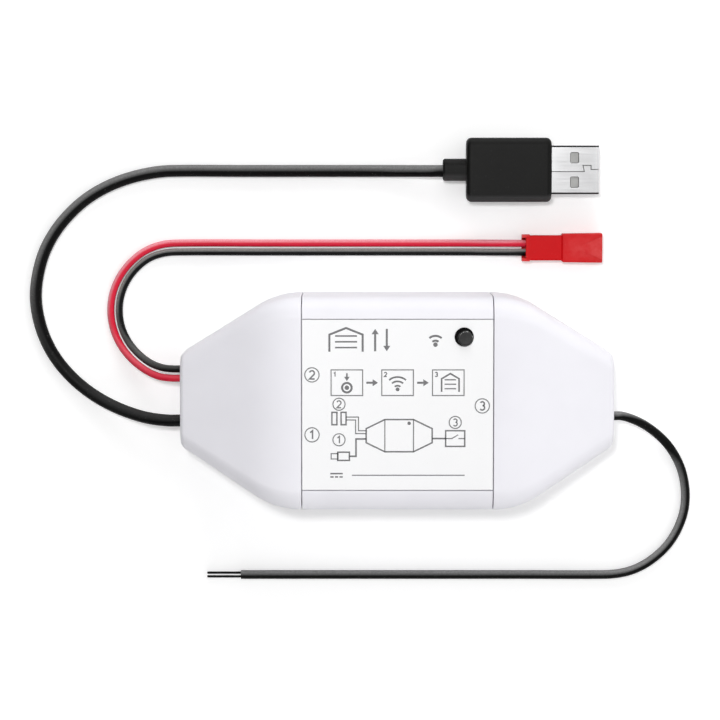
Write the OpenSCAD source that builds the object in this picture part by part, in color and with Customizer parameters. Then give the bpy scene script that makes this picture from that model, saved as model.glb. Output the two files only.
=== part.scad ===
// Wireless garage door controller: a three-piece case with its board, button, relay and leads.
// X runs along the case, Y across it and Z up. The case lies with its back on z = 0.

/* [Case] */
// Length of the straight centre housing
sleeve_l = 46; // [42:0.5:60]
// Length of each tapered end cap
cap_l = 29.75; // [26:0.25:36]
// Gap at each seam between the housing and a cap
seam_gap = 0.25; // [0.1:0.05:0.5]
// Width of the case
body_w = 52; // [50:0.5:62]
// Height of the case
body_h = 26; // [25:0.5:30]
// Thickness of the case walls
wall = 2; // [1.6:0.1:2.2]
// Radius of the long upper edges
edge_r = 5.2; // [4:0.1:5.2]
// Radius of the long lower edges
base_r = 1.2; // [0.8:0.1:1.6]
// Width of a cap's end face, before its edge is rounded
end_w = 22.4; // [21:0.2:26]
// Height of a cap's end face, before its edge is rounded
end_h = 17.4; // [16:0.2:19]
// Radius of the shoulder where a cap starts to narrow
shoulder_r = 21; // [16:1:24]
// Radius of the brow where a cap starts to slope down
brow_r = 36; // [28:1:40]
// Radius of the rounded edge round a cap's end face
end_r = 1.5; // [1:0.25:2]
// Length of the spigot by which a cap plugs into the housing
spigot_l = 3; // [2.5:0.1:3.5]
// Thickness of the spigot
spigot_t = 1.2; // [1:0.1:1.4]
// Gap between the spigot and the housing
spigot_gap = 0.15; // [0.1:0.05:0.25]

/* [Label and button] */
// Flat margin between the label plate and the rounded long edges
label_margin = 0.2; // [0.2:0.1:1]
// Thickness of the label plate
label_t = 0.6; // [0.4:0.1:0.8]
// Gap along the label plate's long edges
label_gap = 0.15; // [0.1:0.05:0.15]
// Distance of the button from the housing's end
button_inset_x = 7; // [7:0.1:9]
// Distance of the button from the label plate's edge
button_inset_y = 4.2; // [3.8:0.1:6]
// Diameter of the button
button_d = 3.6; // [3.4:0.1:3.8]
// Height by which the button stands proud of the label
button_proud = 1; // [0.6:0.1:1.4]
// Diameter of the hole round the button
button_hole_d = 4.6; // [4.4:0.1:4.8]
// Travel of the button
button_travel = 0.25; // [0.15:0.05:0.3]
// Distance from the button to the status light
light_pitch = 6.9; // [6.4:0.1:7.5]
// Diameter of the light pipe
light_d = 3; // [2.6:0.1:3.2]

/* [Board] */
// Thickness of the circuit board
board_t = 1.6; // [1.2:0.1:1.6]
// Height of the circuit board's underside
board_z = 7; // [7:0.1:7.5]
// Depth of the rails that hold the board
rail_d = 2.5; // [2:0.1:3]
// Thickness of the rails that hold the board
rail_t = 1.5; // [1.2:0.1:1.8]
// Gap between the board and what holds it
board_gap = 0.2; // [0.15:0.05:0.3]

/* [Fasteners] */
// Diameter of a cap screw's shank
screw_d = 2.5; // [2.2:0.1:2.6]
// Diameter of a cap screw's countersunk head
screw_head_d = 4.4; // [4.2:0.1:4.6]
// Depth of the cap screw's tip above the back of the case
screw_tip = 6; // [5.6:0.1:6.2]
// Distance of the cap screws from the middle, across the case
screw_y = 16; // [15:0.5:17]
// Distance of the cap screws from the housing's ends
screw_inset = 3.6; // [3.4:0.1:4]
// Gap between a screw and its hole
screw_gap = 0.05; // [0.03:0.01:0.1]
// Diameter of the bosses that the cap screws bite into
boss_d = 5; // [4.8:0.1:5.2]

/* [Leads] */
// Diameter of the power cord
power_d = 3; // [2.8:0.1:3.2]
// Diameter of each sensor wire
sensor_d = 1.8; // [1.6:0.1:1.9]
// Diameter of the signal cord
signal_d = 2.2; // [2:0.1:2.4]
// Diameter of the bare signal cores
core_d = 0.6; // [0.5:0.05:0.65]
// Spacing of the bare signal cores
core_pitch = 0.94; // [0.8:0.02:1]
// Length of the bare signal cores
core_l = 8.5; // [6:0.5:10]
// Diameter of the leads inside the case
lead_d = 1; // [0.8:0.05:1.05]
// Thickness of the strain-relief collars round the cords
collar_t = 1.4; // [1:0.1:1.6]
// Gap between a cord and the hole that it passes
cord_gap = 0.05; // [0.03:0.01:0.1]

/* [Power plug] */
// Length of the plug's moulded body
plug_body_l = 20.9; // [18:0.1:24]
// Width of the plug's moulded body
plug_body_w = 15.85; // [14.5:0.05:17]
// Thickness of the plug's moulded body
plug_body_t = 8; // [7.4:0.1:8.6]
// Length of the plug's neck
plug_neck_l = 5.8; // [5:0.1:7]
// Width of the plug's neck
plug_neck_w = 5.5; // [5:0.1:6]
// Width of the plug's metal shell
plug_shell_w = 12; // [11.9:0.05:12.1]
// Thickness of the plug's metal shell
plug_shell_t = 4.5; // [4.4:0.05:4.6]
// Length of the shell that shows
plug_shell_l = 11.7; // [11.5:0.05:12]
// Length of the shell inside the moulded body
plug_root_l = 6; // [5:0.5:8]
// Thickness of the shell's sheet metal
plug_sheet = 0.3; // [0.25:0.05:0.35]

/* [Sensor plug] */
// Length of the two lips at the plug's rear
pair_lip_l = 0.9; // [0.6:0.1:1.2]
// Length of the plug's narrow rear part
pair_rear_l = 8.75; // [8:0.05:9.5]
// Length of the plug's wide front part
pair_front_l = 10.15; // [9.5:0.05:11]
// Width of the rear part
pair_rear_w = 6.2; // [5.8:0.1:6.4]
// Width of the front part
pair_front_w = 7.3; // [7:0.1:7.6]
// Thickness of the front part
pair_front_t = 4.8; // [4.6:0.1:5]
// Thickness of the rear part
pair_rear_t = 4; // [3.8:0.1:4.2]
// Wall of the plug's open mouth
pair_wall = 0.8; // [0.7:0.05:0.9]
// Spacing of the two wires in the plug
pair_pitch = 2.2; // [2.2:0.05:2.4]

/* [Hidden] */
$fn = 48;
half_w = body_w / 2;
half_sleeve = sleeve_l / 2;
cap_x = half_sleeve + seam_gap;
end_x = cap_x + cap_l;
roof_z = body_h - wall;
inner_half_w = half_w - wall;
label_z = body_h - label_t;
label_w = 2 * (half_w - edge_r - label_margin);
button_x = half_sleeve - button_inset_x;
button_y = label_w / 2 - button_inset_y;
light_x = button_x - light_pitch;
light_drop = 0.5;
light_y = button_y - light_drop;

// Board and what stands on it
board_top = board_z + board_t;
board_end_gap = 0.25;
board_l = 2 * (cap_x - spigot_l - board_end_gap);
board_w = 2 * (inner_half_w - board_gap);
rail_end_gap = 2;
rail_l = board_l - 2 * rail_end_gap;
rail_inner = inner_half_w - rail_d;

// Button and switch
switch_side = 6;
switch_h = 3.5;
switch_plate = 0.3;
plunger_d = 3.4;
plunger_collar_d = 4.2;
plunger_h = 5;
plunger_top = board_top + plunger_h;
plunger_collar_rise = 2.3;
plunger_collar_z = board_top + plunger_collar_rise;
plunger_collar_t = 1;
plunger_gap = 0.1;
flange_d = 6;
flange_t = 1;
flange_gap = 0.1;
guide_t = 0.8;
guide_l = 5;
hole_gap = 0.05;

// Light
led_size = [2, 1.25, 0.8];
pipe_gap = 0.3;
pipe_flange_d = 4.5;
pipe_flange_t = 1;

// Screws
screw_x = half_sleeve - screw_inset;
screw_sink = 0.2;
screw_cone = (screw_head_d - screw_d) / 2;
screw_slot = [2.2, 0.6, 0.7];
tongue_margin = 1;
tongue_w = boss_d + 2 * tongue_margin;
boss_tip_gap = 0.5;
boss_top = screw_tip + boss_tip_gap;

// Terminals at the board's ends
part_gap = 0.7;
terminal_size = [5, 7, 5];
terminal_edge_gap = 0.3;
terminal_x = board_l / 2 - terminal_size.x / 2 - terminal_edge_gap;
terminal_wire_h = 2.6;
terminal_wire_z = board_top + terminal_wire_h;
terminal_pitch = 2.6;
power_terminal_y = -5.5;
sensor_terminal_y = 6.1;
signal_terminal_y = -4.4;

// Parts that stand on the board
radio_size = [16, 18, 0.8];
radio_at = [
    part_gap + (terminal_size.x + radio_size.x) / 2 - terminal_x,
    rail_inner - part_gap - radio_size.y / 2,
    board_top
];
shield_size = [13, 12, 2.4];
buzzer_d = 9.5;
buzzer_h = 5;
can_d = 6.3;
can_h = 11;
can_y = radio_at.y - radio_size.y / 2 - part_gap - can_d / 2;
can_x = terminal_x - terminal_size.x / 2 - part_gap - can_d / 2;
regulator_at = [-6, -4.6, board_top];
regulator_size = [6.5, 3.5, 1.6];
regulator_tab = [3, 1.8, 0.5];
regulator_leg_w = 0.7;
regulator_pitch = 2.3;
transistor_size = [2.9, 1.3, 1.1];
transistor_leg = [0.4, 0.6, 0.3];
transistor_pitch = 1.9;
transistor_at = [
    regulator_at.x + (regulator_size.x + transistor_size.x) / 2 + part_gap,
    regulator_at.y - regulator_size.y / 2,
    board_top
];
diode_size = [2.6, 4.3, 2.2];
chip_size = [2, 1.25, 0.6];

// Relay, in its own frame on the board
relay_l = 15.5;
relay_w = 10;
relay_h = 12.5;
relay_at = [
    terminal_x - terminal_size.x / 2 - part_gap - relay_l / 2,
    part_gap + relay_w / 2 - rail_inner,
    board_top
];
relay_wall = 0.7;
relay_floor = 1.5;
relay_gap = 0.1;
yoke_t = 0.8;
yoke_w = 6;
yoke_x = -6.3;
yoke_top = 10.2;
core_z = 6;
core_rod_d = 2.6;
core_end = 3.9;
coil_d = 6;
coil_l = 8;
armature_x = 4.4;
armature_t = 0.8;
armature_w = 5.2;
armature_low = 2;
hinge_z = 9.8;
hinge_gap = 0.3;
hinge_play = 0.05;

// Free leads: points along the middle of each, resting on z = 0 away from the case
power_route = [
    [-53, -5.5, 8], [-56.5, -5.5, 8], [-61.4, -5, 7], [-66.6, -3.7, 5.2], [-71.7, -1.7, 3.4],
    [-76.4, 1, 2.2], [-80.7, 4.5, 1.6], [-84.4, 8.8, 1.5], [-87.2, 13.7, 1.5], [-89, 19.2, 1.5],
    [-89.7, 25, 1.5], [-89, 30.8, 1.5], [-87.3, 36.3, 1.5], [-84.5, 41.3, 1.5], [-80.8, 45.7, 1.5],
    [-76.6, 49.3, 1.5], [-71.8, 52.1, 1.5], [-66.7, 54.1, 1.5], [-61.4, 55.4, 1.5], [-56, 56, 1.5],
    [-38, 56, 1.5], [-18, 56, 1.5], [-4, 56, 1.6], [5, 56, 3.2], [9, 56, 4], [11.4, 56, 4]
];
red_route = [
    [-53, 5, 8], [-55.5, 5, 8], [-58.9, 5.4, 7], [-62.3, 6.8, 5], [-65.8, 9.3, 3], [-68.6, 12.6, 1.6],
    [-70.4, 16.5, 1], [-71.1, 20.9, 1], [-70.6, 25.4, 1], [-68.9, 29.6, 1], [-66.1, 33.3, 1],
    [-62.5, 36.1, 1], [-58.3, 37.7, 1], [-53.8, 38.1, 1], [-32, 38.1, 1], [-6, 38.1, 1],
    [18, 38.1, 1.1], [25, 38.1, 2], [29, 38.1, 2.4], [32, 38.1, 2.4]
];
black_route = [
    [-53, 7.3, 8], [-55.5, 7.3, 8], [-58.2, 7.6, 7], [-61.3, 8.7, 5], [-64.4, 10.9, 3], [-66.8, 13.7, 1.6],
    [-68.4, 17.1, 1], [-69, 20.9, 1], [-68.6, 24.8, 1], [-67.1, 28.6, 1], [-64.7, 31.8, 1],
    [-61.5, 34.3, 1], [-57.8, 35.6, 1], [-53.8, 35.9, 1], [-32, 35.9, 1], [-6, 35.9, 1],
    [18, 35.9, 1.1], [25, 35.9, 2], [29, 35.9, 2.4], [32, 35.9, 2.4]
];
signal_route = [
    [53, -4.4, 8], [55.7, -4.4, 8], [59, -5.5, 7], [62.1, -7.2, 5.2], [65, -9.4, 3.4], [67.6, -12, 2],
    [69.7, -15, 1.3], [71.2, -18.2, 1.1], [72.1, -21.7, 1.1], [72.4, -25.2, 1.1], [72.1, -28.7, 1.1],
    [71.1, -32.1, 1.1], [69.6, -35.2, 1.1], [67.6, -38, 1.1], [65.1, -40.4, 1.1], [62.3, -42.4, 1.1],
    [59.1, -43.9, 1.1], [55.8, -44.7, 1.1], [52.4, -45, 1.1], [30, -45, 1.1], [8, -45, 1.1],
    [-16, -45, 1.1], [-38.9, -45, 1.1]
];
power_exit = power_route[0];
red_exit = red_route[0];
black_exit = black_route[0];
signal_exit = signal_route[0];

// Leads inside the case
tail_l = 11;
collar_l = 3;
lead_pitch = 1.1;
lead_steps = 7;

// Plugs, which lie at the free ends of their leads. The power cord enters its plug a little off the middle.
plug_offset = 0.3;
plug_at = power_route[len(power_route) - 1] + [0, plug_offset, 0];
plug_neck_end = plug_at.x + plug_neck_l;
plug_body_end = plug_neck_end + plug_body_l;
plug_shell_end = plug_body_end + plug_shell_l;
plug_corner = 2;
plug_plan_r = 1.3;
neck_plan_r = 0.6;
plug_window = [2.2, 2.8];
plug_window_end = 4.9;
plug_window_y = 3;
plug_contact_pitch = [-3.5, -1, 1, 3.5];
tongue_t = 1.9;
pair_at = (red_route[len(red_route) - 1] + black_route[len(black_route) - 1]) / 2;
pair_step = pair_at.x + pair_rear_l;
pair_end = pair_step + pair_front_l;
pair_mouth_l = 8;
pair_pin = 0.64;
cores_at = signal_route[len(signal_route) - 1];

// Section across the case, as [y, z] points, with rounded upper and lower edges
corner_steps = 12;
base_steps = 3;

function arc(cy, cz, r, from, steps) =
    [for (i = [0 : steps]) [cy + r * cos(from + 90 * i / steps), cz + r * sin(from + 90 * i / steps)]];

function section(half, low, high, top_r, low_r) = concat(
    arc(half - top_r, high - top_r, top_r, 0, corner_steps),
    arc(-half + top_r, high - top_r, top_r, 90, corner_steps),
    arc(-half + low_r, low + low_r, low_r, 180, base_steps),
    arc(half - low_r, low + low_r, low_r, 270, base_steps)
);

// Outline with all four corners rounded alike
plug_steps = 6;

function round_box(half, low, high, r) = concat(
    arc(half - r, high - r, r, 0, plug_steps),
    arc(-half + r, high - r, r, 90, plug_steps),
    arc(-half + r, low + r, r, 180, plug_steps),
    arc(half - r, low + r, r, 270, plug_steps)
);

// Prism along X from one place to another
module bar(from, to, outline) {
    translate([from, 0, 0])
        rotate([90, 0, 90])
            linear_extrude(to - from)
                polygon(outline);
}

// Round rod along X
module rod(from, to, y, z, d) {
    translate([from, y, z])
        rotate([0, 90, 0])
            cylinder(d = d, h = to - from);
}

// Box by its middle in X and Y and its underside in Z
module block(at, size) {
    translate([at.x - size.x / 2, at.y - size.y / 2, at.z])
        cube(size);
}

// Skin through a row of rings that all have the same number of points
module skin(rings) {
    n = len(rings[0]);
    last = len(rings) - 1;
    sides = [for (k = [0 : last - 1], i = [0 : n - 1])
        let (a = k * n + i, b = k * n + (i + 1) % n, c = b + n, d = a + n)
        each [[a, d, c], [a, c, b]]];
    start = [for (i = [0 : n - 1]) i];
    finish = [for (i = [n - 1 : -1 : 0]) last * n + i];
    polyhedron([for (ring = rings) each ring], concat(sides, [start, finish]));
}

// Tube along a route whose two ends run along X
tube_sides = 8;

function unit(v) = v / norm(v);

function heading(route, i) =
    i == 0 ? [sign(route[1].x - route[0].x), 0, 0] :
    i == len(route) - 1 ? [sign(route[i].x - route[i - 1].x), 0, 0] :
    unit(route[i + 1] - route[i - 1]);

function tube_ring(at, along, d) =
    let (side = unit(cross([0, 0, 1], along)), up = cross(along, side))
    [for (j = [0 : tube_sides - 1])
        let (a = 360 * (j + 0.5) / tube_sides)
        at + d / 2 * (cos(a) * side + sin(a) * up)];

module tube(route, d) {
    skin([for (i = [0 : len(route) - 1]) tube_ring(route[i], heading(route, i), d)]);
}

// Drop of a line that leaves the level on an arc of radius r and falls by drop over run
function slope_angle(run, drop, r) = 90 - atan2(r - drop, run) - acos(r / norm([run, r - drop]));

function fall(s, r, a) =
    s < r * sin(a) ? r - sqrt(r * r - s * s) : r * (1 - cos(a)) + (s - r * sin(a)) * tan(a);

function edge_round(q, r) = q >= r ? 0 : r - sqrt(r * r - (r - q) * (r - q));

// Case
inner_low_r = 0.8;
inner_edge_r = edge_r - wall;
cap_edge_r = 4;
cap_base_r = 1;
cap_turn = slope_angle(cap_l, half_w - end_w / 2, shoulder_r);
cap_dip = slope_angle(cap_l, body_h - end_h, brow_r);
cap_side_wall = wall / cos(cap_turn);
cap_top_wall = wall / cos(cap_dip);
cap_arc_l = max(shoulder_r * sin(cap_turn), brow_r * sin(cap_dip));
cap_arc_steps = 12;
cap_edge_steps = 6;
cap_arc_places = [for (i = [0 : cap_arc_steps]) cap_arc_l * i / cap_arc_steps];
cap_edge_places = [for (j = [0 : cap_edge_steps]) cap_l - end_r * (1 - sin(90 * j / cap_edge_steps))];
spigot_root = 1.5;
cut = 1;

function cap_half(s) = half_w - fall(s, shoulder_r, cap_turn) - edge_round(cap_l - s, end_r);
function cap_high(s) = body_h - fall(s, brow_r, cap_dip) - edge_round(cap_l - s, end_r);
function cap_low(s) = edge_round(cap_l - s, cap_base_r);
function cap_round(s) = edge_r + (cap_edge_r - edge_r) * s / cap_l;
function lift(s, outline) = [for (p = outline) [cap_x + s, p.x, p.y]];
function cap_ring(s) = lift(s, section(cap_half(s), cap_low(s), cap_high(s), cap_round(s), base_r));
function cavity_ring(s) = lift(s, section(cap_half(s) - cap_side_wall, wall, cap_high(s) - cap_top_wall,
    cap_round(s) - wall, inner_low_r));

// Section of the housing's hollow, drawn in by an inset
function hollow(inset) = section(inner_half_w - inset, wall + inset, roof_z - inset,
    inner_edge_r - min(inset, inner_edge_r / 2), inner_low_r);

module guide_tube() {
    translate([button_x, button_y, roof_z - guide_l])
        cylinder(d = flange_d + 2 * (flange_gap + guide_t), h = guide_l + wall / 2);
}

module button_bore() {
    translate([button_x, button_y, roof_z - guide_l - cut])
        cylinder(d = flange_d + 2 * flange_gap, h = guide_l + cut);
    translate([button_x, button_y, roof_z - cut])
        cylinder(d = button_hole_d, h = wall + 2 * cut);
}

module rails() {
    for (side = [-1, 1], low = [board_z - rail_t, board_top + board_gap])
        block([0, side * (inner_half_w - rail_d / 2 + wall / 4), low], [rail_l, rail_d + wall / 2, rail_t]);
}

module screw_places() {
    for (end = [-1, 1], side = [-1, 1])
        translate([end * screw_x, side * screw_y, 0])
            children();
}

module screw_hole() {
    head_gap = 0.15;
    translate([0, 0, -cut])
        cylinder(d = screw_head_d + 2 * head_gap, h = cut + screw_sink);
    translate([0, 0, screw_sink])
        cylinder(d1 = screw_head_d + 2 * head_gap, d2 = screw_d + 2 * head_gap, h = screw_cone);
    cylinder(d = screw_d + 2 * head_gap, h = wall + cut);
}

module centre_housing() {
    color("white")
        difference() {
            union() {
                difference() {
                    bar(-half_sleeve, half_sleeve, section(half_w, 0, body_h, edge_r, base_r));
                    bar(-half_sleeve - cut, half_sleeve + cut, hollow(0));
                }
                rails();
                guide_tube();
            }
            block([0, 0, label_z], [sleeve_l + 2 * cut, label_w + 2 * label_gap, label_t + cut]);
            button_bore();
            translate([light_x, light_y, roof_z - cut])
                cylinder(d = light_d + 2 * hole_gap, h = wall + cut);
            screw_places()
                screw_hole();
        }
}

module label_plate() {
    color("whitesmoke")
        difference() {
            block([0, 0, label_z], [sleeve_l, label_w, label_t]);
            translate([button_x, button_y, label_z - cut])
                cylinder(d = button_hole_d, h = label_t + 2 * cut);
        }
}

// One end cap on the +X side, without its cord holes
module plain_cap() {
    boss_z = wall + spigot_gap;
    tongue_from = screw_x - boss_d / 2;
    difference() {
        union() {
            difference() {
                skin([for (s = concat(cap_arc_places, cap_edge_places)) cap_ring(s)]);
                skin([for (s = concat([-cut], cap_arc_places, [cap_l - wall])) cavity_ring(s)]);
            }
            difference() {
                union() {
                    bar(cap_x, cap_x + spigot_root, section(half_w - wall / 2, wall / 2, body_h - wall / 2,
                        edge_r - wall / 2, base_r));
                    bar(cap_x - spigot_l, cap_x + cut, hollow(spigot_gap));
                }
                bar(cap_x - spigot_l - cut, cap_x + spigot_root + cut, hollow(spigot_gap + spigot_t));
            }
            for (side = [-1, 1]) {
                block([(tongue_from + cap_x) / 2, side * screw_y, boss_z],
                    [cap_x - tongue_from, tongue_w, spigot_t]);
                translate([screw_x, side * screw_y, boss_z])
                    cylinder(d = boss_d, h = boss_top - boss_z);
            }
        }
        for (side = [-1, 1])
            translate([screw_x, side * screw_y, 0])
                cylinder(d = screw_d + 2 * screw_gap, h = screw_tip + screw_gap);
    }
}

module cord_hole(exit, d) {
    rod(end_x - wall - cut, end_x + cut, exit.y, exit.z, d + 2 * cord_gap);
}

module left_end_cap() {
    color("white")
        mirror([1, 0, 0])
            difference() {
                plain_cap();
                cord_hole(power_exit, power_d);
                cord_hole(red_exit, sensor_d);
                cord_hole(black_exit, sensor_d);
            }
}

module right_end_cap() {
    color("white")
        difference() {
            plain_cap();
            cord_hole(signal_exit, signal_d);
        }
}

module cap_screws() {
    color("silver")
        screw_places()
            difference() {
                union() {
                    translate([0, 0, screw_sink])
                        cylinder(d1 = screw_head_d, d2 = screw_d, h = screw_cone);
                    translate([0, 0, screw_sink])
                        cylinder(d = screw_d, h = screw_tip - screw_sink);
                }
                block([0, 0, 0], screw_slot);
                rotate([0, 0, 90])
                    block([0, 0, 0], screw_slot);
            }
}

// Button, switch and status light
module button_cap() {
    chamfer = 0.3;
    color("#303030")
        translate([button_x, button_y, 0]) {
            translate([0, 0, plunger_top])
                cylinder(d = button_d, h = body_h + button_proud - chamfer - plunger_top);
            translate([0, 0, body_h + button_proud - chamfer])
                cylinder(d1 = button_d, d2 = button_d - 2 * chamfer, h = chamfer);
            translate([0, 0, roof_z - flange_gap - flange_t])
                cylinder(d = flange_d, h = flange_t);
        }
}

module switch_plunger() {
    color("#202020")
        translate([button_x, button_y, plunger_collar_z]) {
            cylinder(d = plunger_collar_d, h = plunger_collar_t);
            cylinder(d = plunger_d, h = plunger_top - plunger_collar_z);
        }
}

module switch_base() {
    pocket_room = 0.25;
    color("#282828")
        difference() {
            block([button_x, button_y, board_top], [switch_side, switch_side, switch_h]);
            translate([button_x, button_y, plunger_collar_z - button_travel - pocket_room])
                cylinder(d = plunger_collar_d + 2 * plunger_gap, h = switch_h);
        }
}

module switch_frame() {
    color("silver")
        difference() {
            block([button_x, button_y, board_top + switch_h], [switch_side, switch_side, switch_plate]);
            translate([button_x, button_y, board_top + switch_h - cut])
                cylinder(d = plunger_d + 2 * plunger_gap, h = switch_plate + 2 * cut);
        }
}

module status_led() {
    color("lightyellow")
        block([light_x, light_y, board_top], led_size);
}

module light_pipe() {
    foot = board_top + led_size.z + pipe_gap;
    color("lightcyan")
        translate([light_x, light_y, 0]) {
            translate([0, 0, foot])
                cylinder(d = light_d, h = label_z - foot);
            translate([0, 0, roof_z - pipe_flange_t])
                cylinder(d = pipe_flange_d, h = pipe_flange_t);
        }
}

// Circuit board and its parts
module circuit_board() {
    color("darkgreen")
        block([0, 0, board_z], [board_l, board_w, board_t]);
}

module radio_board() {
    color("#1a3a6a")
        block(radio_at, radio_size);
}

module radio_shield() {
    can_wall = 0.3;
    foot = radio_at + [0, 0, radio_size.z];
    color("silver")
        difference() {
            block(foot, shield_size);
            block(foot - [0, 0, cut], shield_size - [2 * can_wall, 2 * can_wall, can_wall - cut]);
        }
}

module relay_base() {
    side_gap = 2 * (relay_wall + relay_gap);
    color("#202020")
        block(relay_at, [relay_l - side_gap, relay_w - side_gap, relay_floor]);
}

module relay_case() {
    color("#2040a0")
        difference() {
            block(relay_at, [relay_l, relay_w, relay_h]);
            block(relay_at - [0, 0, cut],
                [relay_l - 2 * relay_wall, relay_w - 2 * relay_wall, relay_h - relay_wall + cut]);
        }
}

module relay_core() {
    plate_l = armature_x - hinge_gap - yoke_x;
    color("lightsteelblue")
        translate(relay_at) {
            block([yoke_x + yoke_t / 2, 0, relay_floor], [yoke_t, yoke_w, yoke_top - relay_floor]);
            block([yoke_x + plate_l / 2, 0, yoke_top - yoke_t], [plate_l, yoke_w, yoke_t]);
            rod(yoke_x + yoke_t / 2, core_end, 0, core_z, core_rod_d);
        }
}

module relay_coil() {
    coil_from = yoke_x + yoke_t + hinge_gap;
    color("peru")
        translate(relay_at)
            difference() {
                rod(coil_from, coil_from + coil_l, 0, core_z, coil_d);
                rod(coil_from - cut, coil_from + coil_l + cut, 0, core_z, core_rod_d + 2 * hole_gap);
            }
}

// The armature hangs by a rolled knuckle at the end of the yoke.
module relay_armature() {
    color("lightsteelblue")
        translate(relay_at) {
            block([armature_x + armature_t / 2, 0, armature_low],
                [armature_t, armature_w, hinge_z + relay_gap - armature_low]);
            translate([armature_x, 0, hinge_z])
                rotate([90, 0, 0])
                    cylinder(r = hinge_gap - hinge_play, h = armature_w, center = true);
        }
}

module relay_contacts() {
    post = [0.6, 3, 1.4];
    closed_gap = 0.8;
    open_gap = 0.4;
    color("goldenrod")
        translate(relay_at) {
            block([armature_x - closed_gap - post.x / 2, 0, relay_floor], post);
            block([armature_x + armature_t + open_gap + post.x / 2, 0, relay_floor], post);
        }
}

module buzzer() {
    sound_hole_d = 2;
    color("#202020")
        translate([relay_at.x - (relay_l + buzzer_d) / 2 - part_gap, relay_at.y, board_top])
            difference() {
                cylinder(d = buzzer_d, h = buzzer_h);
                translate([0, 0, buzzer_h / 2])
                    cylinder(d = sound_hole_d, h = buzzer_h);
            }
}

module capacitors() {
    rim = 0.5;
    color("#283048")
        for (i = [0, 1])
            translate([can_x - i * (can_d + part_gap), can_y, board_top]) {
                cylinder(d = can_d, h = can_h - rim);
                translate([0, 0, can_h - rim])
                    cylinder(d1 = can_d, d2 = can_d - 2 * rim, h = rim);
            }
}

module voltage_regulator() {
    reach = (regulator_size.y + regulator_tab.y) / 2;
    color("#202020") {
        block(regulator_at, regulator_size);
        block(regulator_at + [0, reach, 0], regulator_tab);
        for (i = [-1, 0, 1])
            block(regulator_at + [regulator_pitch * i, -reach, 0],
                [regulator_leg_w, regulator_tab.y, regulator_tab.z]);
    }
}

module driver_transistor() {
    reach = (transistor_size.y + transistor_leg.y) / 2;
    color("#202020") {
        block(transistor_at, transistor_size);
        block(transistor_at + [0, reach, 0], transistor_leg);
        for (i = [-1, 1])
            block(transistor_at + [transistor_pitch / 2 * i, -reach, 0], transistor_leg);
    }
}

module flyback_diode() {
    color("#202020")
        block([terminal_x, relay_at.y, board_top], diode_size);
}

module chip_components() {
    first = radio_at + [(radio_size.x + chip_size.x) / 2 + part_gap, -radio_size.y / 4, 0];
    step = [3, 2.4, 0];
    color("tan")
        for (i = [0 : 2], j = [0, 1])
            block(first + [i * step.x, j * step.y, 0], chip_size);
}

// Terminals, with the wells of their clamp screws
module terminal(at) {
    well_d = 1.8;
    well_l = 2;
    difference() {
        block(at, terminal_size);
        for (side = [-1, 1])
            translate(at + [0, side * terminal_pitch / 2, terminal_size.z - well_l])
                cylinder(d = well_d, h = well_l + cut);
    }
}

module power_terminal() {
    color("seagreen")
        terminal([-terminal_x, power_terminal_y, board_top]);
}

module sensor_terminal() {
    color("seagreen")
        terminal([-terminal_x, sensor_terminal_y, board_top]);
}

module signal_terminal() {
    color("seagreen")
        terminal([terminal_x, signal_terminal_y, board_top]);
}

// Leads inside the case. Each runs level at both ends and rises or falls between them.
face_x = terminal_x + terminal_size.x / 2;
wall_x = end_x - wall;
tail_x = end_x - tail_l;

function lead_path(from, to) = [for (i = [0 : lead_steps])
    let (t = i / lead_steps, s = t * t * (3 - 2 * t))
    [from.x + (to.x - from.x) * t, from.y + (to.y - from.y) * s, from.z + (to.z - from.z) * s]];

module lead_pair(end, exit, terminal_y) {
    for (side = [-1, 1])
        tube(lead_path([end * tail_x, exit.y + side * lead_pitch / 2, exit.z],
            [end * face_x, terminal_y + side * terminal_pitch / 2, terminal_wire_z]), lead_d);
}

module power_tail() {
    color("#202020")
        rod(-end_x, -tail_x, power_exit.y, power_exit.z, power_d);
}

module signal_tail() {
    color("#202020")
        rod(tail_x, end_x, signal_exit.y, signal_exit.z, signal_d);
}

module power_leads() {
    color("firebrick")
        lead_pair(-1, power_exit, power_terminal_y);
}

module signal_leads() {
    color("gray")
        lead_pair(1, signal_exit, signal_terminal_y);
}

module sensor_lead(exit, side) {
    tube(concat([[-end_x, exit.y, exit.z]],
        lead_path([-tail_x, exit.y, exit.z],
            [-face_x, sensor_terminal_y + side * terminal_pitch / 2, terminal_wire_z])), sensor_d);
}

module sensor_leads() {
    color("crimson") {
        sensor_lead(red_exit, -1);
        sensor_lead(black_exit, 1);
    }
}

// Strain-relief collars against the inside of the end walls
module power_collar() {
    color("#303030")
        difference() {
            rod(-wall_x, -wall_x + collar_l, power_exit.y, power_exit.z, power_d + 2 * collar_t);
            rod(-end_x, -tail_x, power_exit.y, power_exit.z, power_d + 2 * cord_gap);
        }
}

module signal_collar() {
    color("#303030")
        difference() {
            rod(wall_x - collar_l, wall_x, signal_exit.y, signal_exit.z, signal_d + 2 * collar_t);
            rod(tail_x, end_x, signal_exit.y, signal_exit.z, signal_d + 2 * cord_gap);
        }
}

module sensor_collar() {
    collar_d = sensor_d + 2 * collar_t / 2;
    color("#303030")
        difference() {
            union() {
                for (exit = [red_exit, black_exit])
                    rod(-wall_x, -wall_x + collar_l, exit.y, exit.z, collar_d);
                block([-wall_x + collar_l / 2, (red_exit.y + black_exit.y) / 2, red_exit.z - collar_d / 2],
                    [collar_l, black_exit.y - red_exit.y, collar_d]);
            }
            for (exit = [red_exit, black_exit])
                rod(-end_x, -tail_x, exit.y, exit.z, sensor_d + 2 * cord_gap);
        }
}

// Free leads
module power_cord() {
    color("#202020")
        tube(power_route, power_d);
}

module sensor_wire_red() {
    color("crimson")
        tube(red_route, sensor_d);
}

module sensor_wire_black() {
    color("#202020")
        tube(black_route, sensor_d);
}

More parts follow.
